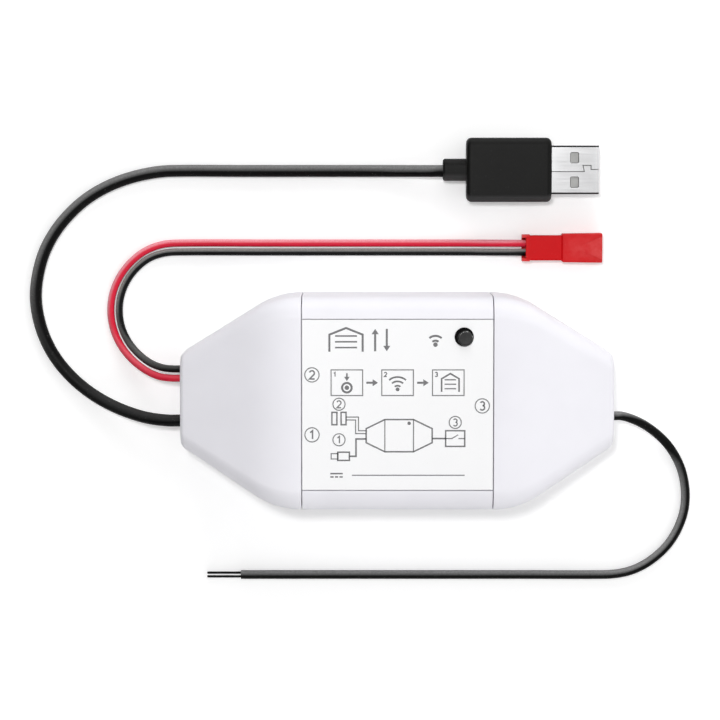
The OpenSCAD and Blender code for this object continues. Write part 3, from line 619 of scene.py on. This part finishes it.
def carve(piece, shape, operation="DIFFERENCE"):
    """Cut a bmesh out of a piece, or join it on, and settle the result in the piece's mesh."""
    tool = new_piece("carving_tool", shape)
    change = piece.modifiers.new("carving", "BOOLEAN")
    change.operation = operation
    change.solver = "EXACT"
    change.object = tool
    ready = piece.evaluated_get(bpy.context.evaluated_depsgraph_get())
    settled = bpy.data.meshes.new_from_object(ready)
    piece.modifiers.remove(change)
    rough, rough_tool = piece.data, tool.data
    piece.data = settled
    bpy.data.objects.remove(tool)
    for mesh in (rough, rough_tool):
        bpy.data.meshes.remove(mesh)
    settled.name = piece.name


def paint(piece, finish):
    piece.data.materials.clear()
    piece.data.materials.append(finishes[finish])


def dress(piece, finish, body, *nodes, slot=None):
    """Give a piece its finish, set it on its body and let it stand for its solids. The slot is not used."""
    paint(piece, finish)
    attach(piece, body)
    if nodes:
        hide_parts(*nodes)
    return piece


# Case: a straight housing between two tapered end caps

label_low, label_high = node_box("label_plate")
HALF_SLEEVE, HALF_W, CASE_H = node_box("centre_housing")[1]
END_X = node_box("right_end_cap")[1].x
LABEL_Z = label_low.z
SEAM_GAP = 0.25
SEAM_ROUND = 0.1
SEAM_EDGE = round_steps(SEAM_ROUND, 4)
WALL = 2.0
EDGE_R = 5.2
BASE_R = 1.2
END_W = 22.4
END_H = 17.4
SHOULDER_R = 21.0
BROW_R = 36.0
END_R = 1.0
CAP_EDGE_R = 4.0
CAP_BASE_R = 1.0
SPIGOT_L = 3.0
SPIGOT_T = 1.2
SPIGOT_GAP = 0.15
SPIGOT_ROOT = 1.5
INNER_BASE_R = 0.8
LABEL_GAP = 0.28
LABEL_GROOVE = 0.7
CORD_GAP = 0.05
CORNER_STEPS = 16
BASE_STEPS = 5
CAP_X = HALF_SLEEVE + SEAM_GAP
CAP_L = END_X - CAP_X


def section(half, low, high, top_r, low_r, between=()):
    """Section across the case with rounded edges, and with points between the upper two."""
    right = quarter(half - top_r, high - top_r, top_r, 0, CORNER_STEPS)
    left = quarter(-half + top_r, high - top_r, top_r, 90, CORNER_STEPS)
    low_left = quarter(-half + low_r, low + low_r, low_r, 180, BASE_STEPS)
    low_right = quarter(half - low_r, low + low_r, low_r, 270, BASE_STEPS)
    return [*right, *between, *left, *low_left, *low_right]


def at_x(x, points):
    return [(x, y, z) for y, z in points]


def slope_angle(run, drop, radius):
    """Angle of a line that leaves the level on an arc and falls by drop over run."""
    return math.pi / 2 - math.atan2(radius - drop, run) - math.acos(radius / math.hypot(run, radius - drop))


def fall(s, radius, angle):
    """Drop at a distance s along an arc that runs on into a straight slope."""
    arc_end = radius * math.sin(angle)
    if s < arc_end:
        return radius - math.sqrt(radius ** 2 - s ** 2)
    return radius * (1 - math.cos(angle)) + (s - arc_end) * math.tan(angle)


def edge_round(q, radius):
    """Drop of a quarter-round at a distance q from its end."""
    return 0 if q >= radius else radius - math.sqrt(radius ** 2 - (radius - q) ** 2)


CAP_TURN = slope_angle(CAP_L, HALF_W - END_W / 2, SHOULDER_R)
CAP_DIP = slope_angle(CAP_L, CASE_H - END_H, BROW_R)


def cap_half(s):
    return HALF_W - fall(s, SHOULDER_R, CAP_TURN) - edge_round(CAP_L - s, END_R)


def cap_top(s):
    return CASE_H - fall(s, BROW_R, CAP_DIP) - edge_round(CAP_L - s, END_R)


def cap_round(s):
    return EDGE_R + (CAP_EDGE_R - EDGE_R) * s / CAP_L


def cap_section(s, inset):
    """Outer section of a cap at a distance s from its seam, drawn in by an inset."""
    low = edge_round(CAP_L - s, CAP_BASE_R) + inset
    return section(cap_half(s) - inset, low, cap_top(s) - inset, cap_round(s) - inset, BASE_R - inset)


def cavity_section(s):
    """Section of a cap's hollow, with the wall measured square to its slopes."""
    half = cap_half(s) - WALL / math.cos(CAP_TURN)
    return section(half, WALL, cap_top(s) - WALL / math.cos(CAP_DIP), cap_round(s) - WALL, INNER_BASE_R)


def hollow(inset):
    """Section of the housing's hollow, drawn in by an inset."""
    inner_r = EDGE_R - WALL
    top_r = inner_r - min(inset, inner_r / 2)
    return section(HALF_W - WALL - inset, WALL + inset, CASE_H - WALL - inset, top_r, INNER_BASE_R)


def cap_shell(name, side):
    """End cap on one side: its spigot, tapered skin and hollow, and the holes for its leads."""
    skin_steps, edge_steps, hollow_steps = 26, 9, 8
    spigot_out, spigot_in = hollow(SPIGOT_GAP), hollow(SPIGOT_GAP + SPIGOT_T)
    outer = evenly(SEAM_ROUND, CAP_L - END_R, skin_steps)[1:]
    outer += [CAP_L - inset for _, inset in round_steps(END_R, edge_steps)[1:]]
    rings = [(s, cavity_section(s)) for s in evenly(CAP_L - WALL, SPIGOT_ROOT, hollow_steps)]
    rings += [(SPIGOT_ROOT, spigot_in), (-SPIGOT_L, spigot_in), (-SPIGOT_L, spigot_out), (0, spigot_out)]
    rings += [(s, cap_section(s, inset)) for s, inset in SEAM_EDGE]
    rings += [(s, cap_section(s, 0)) for s in outer]
    piece = new_piece(name, solid([at_x(side * (CAP_X + s), points) for s, points in rings]))
    hole_ends = (side * (END_X - 2 * WALL), side * (END_X + WALL))
    holes = []
    for route, diameter, *_ in LEADS.values():
        exit_x, y, z = route[0]
        if exit_x * side > 0:
            holes.append([circle((x, y, z), diameter / 2 + CORD_GAP, "X") for x in hole_ends])
    carve(piece, solid(*holes))
    return smooth_faces(piece)


dress(cap_shell("left_end_shell", -1), "case_white", CASE_BODY, "left_end_cap")
dress(cap_shell("right_end_shell", 1), "case_white", CASE_BODY, "right_end_cap")

# Centre housing, with the label's recess and the holes for the button, the light and the screws

button_low, button_high = node_box("button_cap")
pipe_low, pipe_high = node_box("light_pipe")
screws_low, screws_high = node_box("cap_screws")
board_low, board_high = node_box("circuit_board")
BUTTON_AT = ((button_low + button_high) / 2).xy
LIGHT_AT = ((pipe_low + pipe_high) / 2).xy
BUTTON_D = 3.6
BUTTON_HOLE_D = 4.6
BUTTON_SHIFT = Vector((0.27, -0.27))
FLANGE_D = 6.0
FLANGE_T = 1.0
FLANGE_GAP = 0.1
GUIDE_T = 0.8
GUIDE_L = 5.0
GUIDE_R = FLANGE_D / 2 + FLANGE_GAP
LIGHT_D = 3.0
SCREW_D = 2.5
SCREW_HEAD_D = 4.4
SCREW_SINK = screws_low.z
SCREW_TIP = screws_high.z
SCREW_X = screws_high.x - SCREW_HEAD_D / 2
SCREW_Y = screws_high.y - SCREW_HEAD_D / 2
SCREW_PLACES = [(x, y) for x in (-SCREW_X, SCREW_X) for y in (-SCREW_Y, SCREW_Y)]
HEAD_GAP = 0.15
RAIL_D = 2.5
RAIL_T = 1.5
RAIL_END_GAP = 2.0
BOARD_GAP = 0.2
ROOF_Z = CASE_H - WALL
IN_WALL = WALL / 4


def housing_section(inset):
    """Outer section of the housing, with the label's shallow recess and the grooves along it."""
    high = CASE_H - inset
    edge = label_high.y
    recess = edge + LABEL_GAP
    groove = LABEL_Z - LABEL_GROOVE
    floor = [(recess, high), (recess, groove), (edge, groove), (edge, LABEL_Z)]
    floor += [(-y, z) for y, z in reversed(floor)]
    return section(HALF_W - inset, inset, high, EDGE_R - inset, BASE_R - inset, floor)


def close_rim(shape, *rows):
    """Flat rim between two rings of corners in one plane."""
    edges = [shape.edges.get((row[i - 1], row[i])) for row in rows for i in range(len(row))]
    bmesh.ops.triangle_fill(shape, use_beauty=True, edges=edges)


def housing_ribs():
    """Rails that hold the board, and the guide round the button."""
    guide, guide_steps = GUIDE_R + GUIDE_T, 48
    ribs = []
    inner = HALF_W - WALL
    rail_x = board_high.x - RAIL_END_GAP
    for low in (board_low.z - RAIL_T, board_high.z + BOARD_GAP):
        ribs.append(block((-rail_x, inner - RAIL_D, low), (rail_x, inner + IN_WALL, low + RAIL_T)))
        ribs.append(block((-rail_x, -inner - IN_WALL, low), (rail_x, RAIL_D - inner, low + RAIL_T)))
    ribs.append(turned(BUTTON_AT, [(guide, ROOF_Z - GUIDE_L), (guide, ROOF_Z + IN_WALL)], guide_steps))
    return solid(*ribs)


def housing_holes():
    """Bore of the button, hole of the light, and the countersunk screw holes."""
    above = CASE_H + CUT_PAST
    hole, light = BUTTON_HOLE_D / 2, LIGHT_D / 2 + CORD_GAP
    bore = [(GUIDE_R, ROOF_Z - GUIDE_L - CUT_PAST), (GUIDE_R, ROOF_Z)]
    holes = [turned(BUTTON_AT, [*bore, (hole, ROOF_Z), (hole, above)])]
    holes.append(turned(LIGHT_AT, [(light, ROOF_Z - CUT_PAST), (light, above)]))
    head, shank = SCREW_HEAD_D / 2 + HEAD_GAP, SCREW_D / 2 + HEAD_GAP
    sink = [(head, -CUT_PAST), (head, SCREW_SINK), (shank, SCREW_SINK + head - shank)]
    sink.append((shank, WALL + CUT_PAST))
    return solid(*holes, *[turned(place, sink) for place in SCREW_PLACES])


def housing_shell():
    shape = bmesh.new()
    places = [(s - HALF_SLEEVE, inset) for s, inset in SEAM_EDGE]
    places += [(-x, inset) for x, inset in reversed(places)]
    outer = loft(shape, [at_x(x, housing_section(inset)) for x, inset in places])
    inner = loft(shape, [at_x(x, hollow(0)) for x in (-HALF_SLEEVE, HALF_SLEEVE)])
    for end in (0, -1):
        close_rim(shape, outer[end], inner[end])
    piece = new_piece("centre_shell", shape)
    carve(piece, housing_ribs(), "UNION")
    carve(piece, housing_holes())
    return smooth_faces(piece)


def label_panel():
    """Flat label panel with the button's hole, its edges just broken."""
    hole_steps = 96
    piece = new_piece("label_panel", solid(block(label_low, label_high)))
    ends = (LABEL_Z - CUT_PAST, CASE_H + CUT_PAST)
    carve(piece, solid(turned(BUTTON_AT, [(BUTTON_HOLE_D / 2, z) for z in ends], hole_steps)))
    return round_edges(piece, radius=0.12, crease=50)


dress(housing_shell(), "case_white", CASE_BODY, "centre_housing")
dress(label_panel(), "label_white", CASE_BODY, "label_plate")

# Print on the label: a door with its arrows, radio waves, three steps, and a plan of the leads

PRINT_T = 0.012
PRINT_LEVELS = (label_high.z - PRINT_T, label_high.z + PRINT_T)
BOLD = 0.5
MEDIUM = 0.4
PLAIN = 0.36
FINE = 0.26
PLAN_AT = (0.4, -7.4)
PLAN_LENGTHS = (7.95, 3.45)
PLAN_WIDTHS = (1.7, 3.9)
STEP_PLACES = ((-12.2, 5.4), (0, 5.4), (12.2, 5.4))
STEP_SIZE = (3.8, 3.1)
ink = []


def stroke(width, *path):
    ink.append(ribbon(path, width, *PRINT_LEVELS))


def outline(width, *corners):
    """Closed line round corners, joined in the middle of its first side."""
    middle = (Vector(corners[0]) + Vector(corners[1])) / 2
    stroke(width, middle, *corners[1:], corners[0], middle)


def box_line(width, middle, half_w, half_h):
    x, y = middle
    corners = [(x + sx * half_w, y + sy * half_h) for sx, sy in ((-1, -1), (1, -1), (1, 1), (-1, 1))]
    outline(width, *corners)


def spot(corners):
    """Filled patch of print."""
    ink.append([[(x, y, z) for x, y in corners] for z in PRINT_LEVELS])


def dot(middle, radius):
    spot(arc(middle, radius, 0, 360)[:-1])


def arrow(width, tail, tip):
    head_half, head_l = 1.7 * width, 2.6 * width
    start, end = Vector(tail), Vector(tip)
    along = (end - start).normalized()
    across = Vector((-along.y, along.x)) * head_half
    neck = end - along * head_l
    stroke(width, start, neck)
    spot([end, neck + across, neck - across])


def waves(width, place, first, count):
    """Dot with arcs above it, as for a radio."""
    x, y = place
    dot(place, width * 1.1)
    for i in range(count):
        stroke(width, *arc((x, y - width * 0.4), first * (i + 1), 50, 130))


NUMERALS = {
    1: [[(-0.22, 0.26), (0.06, 0.5), (0.06, -0.5)]],
    2: [arc((0, 0.21), 0.29, 165, -35, 14) + [(-0.29, -0.5), (0.32, -0.5)]],
    3: [arc((0, 0.25), 0.25, 150, -80, 12), arc((0, -0.22), 0.28, 80, -150, 12)],
}


def numeral(number, place, height, width):
    x, y = place
    for path in NUMERALS[number]:
        stroke(width, *[(x + px * height, y + py * height) for px, py in path])


def ringed_numeral(number, place, height=1.7, width=0.3):
    stroke(FINE, *arc(place, height * 0.86, 0, 360, 40))
    numeral(number, place, height, width)


def print_door(width, place, half_w, low, high):
    """Door frame with a low roof and the panels of its door."""
    x, y = place
    eaves = low + (high - low) * 0.72
    stroke(width, (x - half_w, y + low), (x - half_w, y + eaves), (x, y + high),
           (x + half_w, y + eaves), (x + half_w, y + low))
    panel_w = half_w * 0.66
    for share in (0.92, 0.58, 0.24):
        level = y + low + (eaves - low) * share
        stroke(width * 0.75, (x - panel_w, level), (x + panel_w, level))


def print_heading():
    print_door(BOLD, (-12.4, 15.8), 4.0, -2.9, 2.8)
    arrow(BOLD, (-5.4, 13.0), (-5.4, 18.4))
    arrow(BOLD, (-2.6, 18.4), (-2.6, 13.0))
    waves(BOLD, (9.1, 14.6), first=1.15, count=2)


def print_steps():
    """Three framed steps in a row: press the button, wait for the radio, the door opens."""
    half_w, half_h = STEP_SIZE
    for number, (x, y) in enumerate(STEP_PLACES, 1):
        box_line(FINE, (x, y), half_w, half_h)
        numeral(number, (x - half_w + 0.9, y + half_h - 1.1), 1.0, FINE)
        if number < len(STEP_PLACES):
            arrow(BOLD, (x + half_w + 0.9, y), (x + half_w + 3.7, y))
    (press_x, press_y), (radio_x, radio_y), (door_x, door_y) = STEP_PLACES
    ring_at = (press_x, press_y - 1.2)
    stroke(BOLD, *arc(ring_at, 1.15, 0, 360, 32))
    dot(ring_at, 0.55)
    arrow(MEDIUM, (press_x, press_y + 2.3), (press_x, press_y + 0.4))
    waves(0.42, (radio_x, radio_y - 1.6), first=1.05, count=3)
    print_door(MEDIUM, (door_x + 0.5, door_y - 0.1), 2.1, -2.1, 2.3)


def print_plan():
    """Plan of the case with its leads: a plug, a two-part sensor and the opener's contact."""
    x, y = PLAN_AT
    (end, seam), (end_w, side) = PLAN_LENGTHS, PLAN_WIDTHS
    power_y, plug_y, sensor_y, contact_y = y - 0.8, y - 5.0, y + 4.15, y - 0.7
    corners = [(-seam, side), (seam, side), (end, end_w), (end, -end_w)]
    corners += [(-cx, -cy) for cx, cy in corners]
    outline(PLAIN, *[(x + cx, y + cy) for cx, cy in corners])
    for seam_x in (x - seam, x + seam):
        stroke(FINE, (seam_x, y - side), (seam_x, y + side))
    dot((x + seam - 1.05, y + side - 0.9), 0.42)
    stroke(MEDIUM, (x - end, power_y), (-10.0, power_y), (-10.0, plug_y), (-11.6, plug_y))
    box_line(PLAIN, (-13.0, plug_y), 1.4, 1.0)
    box_line(FINE, (-15.2, plug_y), 0.8, 0.65)
    for gap in (0.5, 1.2):
        bend, level = gap - 10.6, y + 3.3 + gap
        stroke(FINE, (x - end, y + gap), (bend, y + gap), (bend, level), (-12.4, level))
    for half_x in (-13.0, -15.2):
        box_line(PLAIN, (half_x, sensor_y), 0.6, 1.5)
    stroke(MEDIUM, (x + end, contact_y), (11.6, contact_y))
    box_line(PLAIN, (13.9, contact_y), 2.3, 1.9)
    stroke(FINE, (11.6, contact_y), (13.1, contact_y), (14.6, y + 0.2))
    stroke(FINE, (14.7, contact_y), (16.2, contact_y))
    for number, place in ((1, (-14.1, y - 1.0)), (2, (-14.1, y + 7.6)), (3, (13.9, y + 3.2))):
        ringed_numeral(number, place)


def print_supply():
    """Sign for a direct supply, with a rule beside it."""
    stroke(PLAIN, (-16.2, -16.6), (-13.2, -16.6))
    for x in (-16.2, -15.1, -14.0):
        stroke(PLAIN, (x, -17.4), (x + 0.8, -17.4))
    stroke(FINE, (-11.0, -17.0), (16.2, -17.0))


print_heading()
print_steps()
print_plan()
print_supply()
for number, place in ((2, (-20.6, 7.3)), (1, (-20.6, -7.2)), (3, (20.4, -0.2))):
    ringed_numeral(number, place, 2.0, PLAIN)
dress(new_piece("label_print", solid(*ink)), "print_grey", CASE_BODY, slot="label_white")

# Button and screws


def push_button():
    """Round button: a flange below the roof, and a stem with a rounded head off the flange's middle."""
    radius, head_r, dish, dish_r = BUTTON_D / 2, 0.28, 0.02, 1.45
    steps, head_steps, dish_steps = 72, 8, 9
    top, flange_top = button_high.z, ROOF_Z - FLANGE_GAP
    flange_low = flange_top - FLANGE_T
    flange = [(radius, button_low.z), (radius, flange_low)]
    flange += [(FLANGE_D / 2, flange_low), (FLANGE_D / 2, flange_top)]
    stem = [(radius, flange_top)]
    stem += [(radius - s, top - inset) for s, inset in round_steps(head_r, head_steps)]
    stem += [(dish_r * share, top - dish * (1 - share ** 2)) for share in evenly(1, 0, dish_steps)[1:-1]]
    rings = turned(BUTTON_AT, flange, steps) + turned(BUTTON_AT + BUTTON_SHIFT, stem, steps)
    return smooth_faces(new_piece("push_button", solid(rings)), crease=50)


def case_screws():
    """Countersunk screws with a cross slot, seen in the back of the case."""
    head, shank, tip_r, tip_l = SCREW_HEAD_D / 2, SCREW_D / 2, 0.4, 0.9
    rim_in, rim_t = 0.15, 0.12
    slot_l, slot_w, slot_d, slot_taper = 1.35, 0.32, 0.85, 0.6
    profile = [(head - rim_in, SCREW_SINK), (head, SCREW_SINK + rim_t), (shank, SCREW_SINK + head - shank)]
    profile += [(shank, SCREW_TIP - tip_l), (tip_r, SCREW_TIP)]
    piece = new_piece("case_screws", solid(*[turned(place, profile) for place in SCREW_PLACES]))
    for dx, dy in ((slot_l, slot_w), (slot_w, slot_l)):
        corners = [(-dx, -dy), (dx, -dy), (dx, dy), (-dx, dy)]
        slots = [[[(x + cx * share, y + cy * share, SCREW_SINK + z) for cx, cy in corners]
                  for share, z in ((1, -slot_d), (slot_taper, slot_d))] for x, y in SCREW_PLACES]
        carve(piece, solid(*slots))
    return smooth_faces(piece)


dress(push_button(), "button_black", BUTTON_BODY, "button_cap")
dress(case_screws(), "screw_steel", CASE_BODY, "cap_screws")

# Power plug: a soft overmould with a metal shell

plug_low, plug_high = node_box("power_plug_body")
shell_low, shell_high = node_box("power_plug_shell")
PLUG_AT = Vector((POWER_ROUTE[-1][0], (plug_low.y + plug_high.y) / 2, POWER_ROUTE[-1][2]))
_, PLUG_HALF_W, PLUG_HALF_T = (plug_high - plug_low) / 2
PLUG_NECK_END = 17.2
NECK_HALF = 2.75
PLUG_CORNER = 2.0
PLUG_PLAN_R = 1.3
NECK_PLAN_R = 0.6
_, SHELL_HALF_W, SHELL_HALF_T = (shell_high - shell_low) / 2
SHELL_R = 0.55
SHEET_T = 0.3
ROUND_STEPS = 8


def round_box(half_w, half_t, radius):
    """Outline with four rounded corners round the origin, as pairs."""
    return [point
            for start, sy, sz in ((0, 1, 1), (90, -1, 1), (180, -1, -1), (270, 1, -1))
            for point in quarter(sy * (half_w - radius), sz * (half_t - radius), radius, start, ROUND_STEPS)]


def plug_ring(x, half_w, half_t, radius):
    """Rounded ring across the power plug's middle line."""
    return [(x, PLUG_AT.y + y, PLUG_AT.z + z) for y, z in round_box(half_w, half_t, radius)]


def plug_overmould():
    """Neck, body and the pocket for the shell in one skin. Corners are rounder in plan than in thickness."""
    face_share = 0.6
    neck = [plug_ring(PLUG_AT.x + s, NECK_HALF - inset, NECK_HALF - inset, PLUG_CORNER - inset)
            for s, inset in round_steps(NECK_PLAN_R)]
    neck.append(plug_ring(PLUG_NECK_END, NECK_HALF, NECK_HALF, PLUG_CORNER))
    ends = [(s, PLUG_HALF_W - inset, PLUG_HALF_T - inset * face_share, PLUG_CORNER - inset * face_share)
            for s, inset in round_steps(PLUG_PLAN_R)]
    back = [plug_ring(PLUG_NECK_END + s, *sizes) for s, *sizes in ends]
    front = [plug_ring(plug_high.x - s, *sizes) for s, *sizes in reversed(ends)]
    pocket = [plug_ring(x, SHELL_HALF_W + CORD_GAP, SHELL_HALF_T + CORD_GAP, SHELL_R)
              for x in (plug_high.x, shell_low.x)]
    return smooth_faces(new_piece("power_plug_overmould", solid(neck + back + front + pocket)), crease=40)


def plug_sheet_shell():
    """Folded sheet shell: its windows above and below, and the dovetailed seam along its top."""
    window_l, window_w, window_y, window_r = 1.9, 2.5, 3.0, 0.3
    window_x = shell_high.x - 6.0
    rim_w, rim_depth = 0.16, 0.14
    seam_w, seam_depth, seam_foot = 0.26, 0.22, 0.1
    seam = [(shell_low.x - CUT_PAST, 55.9), (46.2, 55.9), (45.85, 57.4), (47.85, 57.4), (47.85, 56.4),
            (shell_high.x + CUT_PAST, 56.4)]
    sizes = [(shell_low.x, 0), (shell_high.x, 0), (shell_high.x, SHEET_T), (shell_low.x, SHEET_T)]
    shape = bmesh.new()
    loft(shape, [plug_ring(x, SHELL_HALF_W - t, SHELL_HALF_T - t, SHELL_R - t) for x, t in sizes], loop=True)
    piece = new_piece("power_plug_sheet", shape)
    levels = [(shell_low.z - CORD_GAP, rim_w), (shell_low.z + rim_depth, 0)]
    levels += [(shell_high.z - rim_depth, 0), (shell_high.z + CORD_GAP, rim_w)]
    edges = [(z, round_box(window_l / 2 + grow, window_w / 2 + grow, window_r + grow)) for z, grow in levels]
    windows = [[[(window_x + x, middle + y, z) for x, y in edge] for z, edge in edges]
               for middle in (PLUG_AT.y - window_y, PLUG_AT.y + window_y)]
    carve(piece, solid(*windows))
    groove = ribbon(seam, seam_w, shell_high.z - seam_depth, shell_high.z + CORD_GAP, seam_foot)
    carve(piece, solid(groove))
    return smooth_faces(piece, crease=40)


power_overmould = dress(plug_overmould(), "plug_black", CASE_BODY, "power_plug_body")
power_shell = dress(plug_sheet_shell(), "plug_steel", CASE_BODY, "power_plug_shell")

# Sensor plug: a red two-way housing with two rear lips and an open mouth

pair_low, pair_high = node_box("sensor_plug_housing")
PAIR_AT = (Vector(RED_ROUTE[-1]) + Vector(BLACK_ROUTE[-1])) / 2
PAIR_STEP_X = 40.75
PAIR_REAR = (3.1, 2.0)
PAIR_FRONT = (pair_high - pair_low).yz / 2
PAIR_WALL = 0.8
PAIR_MOUTH_L = 8.0
PAIR_EDGE = 0.4
PAIR_LIP_T = 0.8
PAIR_LIP_OUT = 0.2
PAIR_SHELF_T = 0.8


def pair_ring(x, half_w, half_t, radius=PAIR_EDGE):
    """Rounded ring across the sensor plug's middle line."""
    return [(x, PAIR_AT.y + y, PAIR_AT.z + z) for y, z in round_box(half_w, half_t, radius)]


def sensor_housing():
    """Stepped housing with its mouth, then the lips, the shelf below the wires and the wedge on its top."""
    rear_w, rear_t = PAIR_REAR
    front_w, front_t = PAIR_FRONT
    mouth_w, mouth_t = front_w - PAIR_WALL, front_t - PAIR_WALL
    broken, step_slope, rear_flare = 0.15, 0.45, 0.12
    piece = new_piece("sensor_plug_red", solid([
        pair_ring(PAIR_AT.x, rear_w - broken, rear_t - broken),
        pair_ring(PAIR_AT.x + broken, rear_w, rear_t),
        pair_ring(PAIR_STEP_X, rear_w, rear_t),
        pair_ring(PAIR_STEP_X + step_slope, front_w - rear_flare, front_t - rear_flare),
        pair_ring(pair_high.x - broken, front_w, front_t),
        pair_ring(pair_high.x, front_w - broken, front_t - broken),
        pair_ring(pair_high.x, mouth_w, mouth_t, PAIR_EDGE / 2),
        pair_ring(pair_high.x - PAIR_MOUTH_L, mouth_w, mouth_t, PAIR_EDGE / 2),
    ]))
    lip_y = rear_w + PAIR_LIP_OUT - PAIR_LIP_T
    half_shelf = lip_y + PAIR_LIP_T / 2
    low, joint_x = PAIR_AT.z - rear_t, PAIR_AT.x + CUT_PAST
    lips = [block((pair_low.x, y, low), (joint_x, y + PAIR_LIP_T, PAIR_AT.z + rear_t))
            for y in (PAIR_AT.y + lip_y, PAIR_AT.y - lip_y - PAIR_LIP_T)]
    carve(piece, solid(*lips), "UNION")
    shelf = block((pair_low.x, PAIR_AT.y - half_shelf, low),
                  (joint_x, PAIR_AT.y + half_shelf, low + PAIR_SHELF_T))
    carve(piece, solid(shelf), "UNION")
    apex_x, apex_w, front_half, rise, root = 44.4, 0.1, 2.75, 0.44, 0.3
    front_x = pair_high.x - broken
    plan = [(apex_x, -apex_w), (front_x, -front_half), (front_x, front_half), (apex_x, apex_w)]
    foot = [(x, PAIR_AT.y + y, pair_high.z - root) for x, y in plan]
    crest = [(x, PAIR_AT.y + y, pair_high.z - rear_flare + rise * (x > apex_x)) for x, y in plan]
    carve(piece, solid([foot, crest]), "UNION")
    return smooth_faces(piece, crease=30)


red_plug = dress(sensor_housing(), "plug_red", CASE_BODY, "sensor_plug_housing")

# Bare ends of the signal lead

core_low, core_high = node_box("signal_cores")
CORE_R = (core_high.z - core_low.z) / 2


def signal_ends():
    """Two thin cores with rounded tips, side by side."""
    steps, tip_steps = 20, 5
    z = (core_low.z + core_high.z) / 2
    places = [(core_high.x, CORE_R)]
    places += [(core_low.x + inset, CORE_R - s) for s, inset in round_steps(CORE_R, tip_steps)[:-1]]
    cores = [[circle((x, y, z), r, "X", steps) for x, r in places]
             for y in (core_low.y + CORE_R, core_high.y - CORE_R)]
    return smooth_faces(new_piece("signal_bare_ends", solid(*cores)))


bare_ends = dress(signal_ends(), "core_black", CASE_BODY, "signal_cores", slot="cord_black")

# Leads: each takes its finish, rides on the case and stands for its solid

for name, (route, diameter, length, finish, slot, node, far_end, stiffness) in LEADS.items():
    dress(leads[name], finish, CASE_BODY, node, slot=slot)

# Solids that keep their own shape

INNER_FINISHES = {
    "part_black": ["switch_plunger", "switch_base", "relay_base", "buzzer", "voltage_regulator",
                   "driver_transistor", "flyback_diode", "power_collar", "sensor_collar", "signal_collar"],
    "tin_steel": ["switch_frame", "radio_shield", "relay_core", "relay_armature", "sensor_plug_pins"],
    "clear_pipe": ["light_pipe"],
    "chip_ceramic": ["status_led", "chip_components"],
    "board_laminate": ["circuit_board", "radio_board"],
    "relay_blue": ["relay_case"],
    "wound_copper": ["relay_coil"],
    "can_dark": ["capacitors"],
    "terminal_green": ["power_terminal", "sensor_terminal", "signal_terminal"],
    "cord_black": ["power_tail", "signal_tail", "power_leads", "signal_leads", "sensor_leads"],
    "tongue_white": ["power_plug_tongue"],
    "contact_gold": ["power_plug_contacts", "relay_contacts"],
}
for finish, nodes in INNER_FINISHES.items():
    for node in nodes:
        paint(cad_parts[node], finish)

# Floor and light

FLOOR_R = 4.0
FLOOR_STEPS = 96
FLOOR_DROP = 0.02
FLOOR_GLOW = 0.28


def floor_finish():
    """Pale paper: it takes the shadow, and its own glow brings the open floor up to white."""
    material, tree = new_finish("pale_floor")
    tree.nodes.clear()
    fibre_scale = 500.0
    colour = mix_colours(add_noise(tree, fibre_scale, 3), (238, 238, 238), (242, 242, 242))
    paper = add_node(tree, "BsdfDiffuse", {"Color": colour})
    rays = tree.nodes.new("ShaderNodeLightPath").outputs
    seen = add_math("MAXIMUM", rays["Is Camera Ray"], rays["Is Glossy Ray"])
    seen = add_math("MAXIMUM", seen, rays["Is Transmission Ray"])
    glow = add_node(tree, "Emission", {"Strength": times(seen, FLOOR_GLOW)})
    both = add_node(tree, "AddShader", {0: paper.outputs[0], 1: glow.outputs[0]})
    add_node(tree, "OutputMaterial", {"Surface": both.outputs[0]})
    return material


def make_floor():
    mesh = bpy.data.meshes.new("floor")
    mesh.from_pydata(circle((0, 0, 0), FLOOR_R, "Z", FLOOR_STEPS), [], [range(FLOOR_STEPS)])
    mesh.materials.append(floor_finish())
    floor = add_object("floor", mesh)
    floor.location.z = -FLOOR_DROP * MM


def softbox(name, place, size, power):
    """Square area lamp at a place in metres, turned towards the middle of the part."""
    lamp = bpy.data.lights.new(name, "AREA")
    lamp.size = size
    lamp.energy = power
    holder = add_object(name, lamp)
    holder.location = place
    holder.rotation_euler = (-Vector(place)).to_track_quat("-Z", "Y").to_euler()


def studio_sky(low, rise, lean):
    """Soft room light: dim at the horizon, brighter overhead and towards the right."""
    world = bpy.data.worlds.new("studio")
    world.use_nodes = True
    bpy.context.scene.world = world
    tree = world.node_tree
    x, _, z = parts_of(coordinates(tree, "Generated"))
    level = low
    for part, share in ((z, rise), (x, lean)):
        level = add_math("ADD", times(part, share), level)
    background = tree.nodes["Background"].inputs
    background["Color"].default_value = (1, 1, 1, 1)
    feed(background["Strength"], add_math("MAXIMUM", level, 0.0))


make_floor()
softbox("key_softbox", (-0.1, 0.2, 0.97), size=0.11, power=4.0)
softbox("back_softbox", (0.0, 1.1, 0.4), size=0.7, power=5.1)
softbox("front_softbox", (0.0, -1.1, 0.5), size=0.7, power=2.6)
studio_sky(low=0.15, rise=0.25, lean=0.76)
bpy.context.scene.view_settings.view_transform = "Standard"
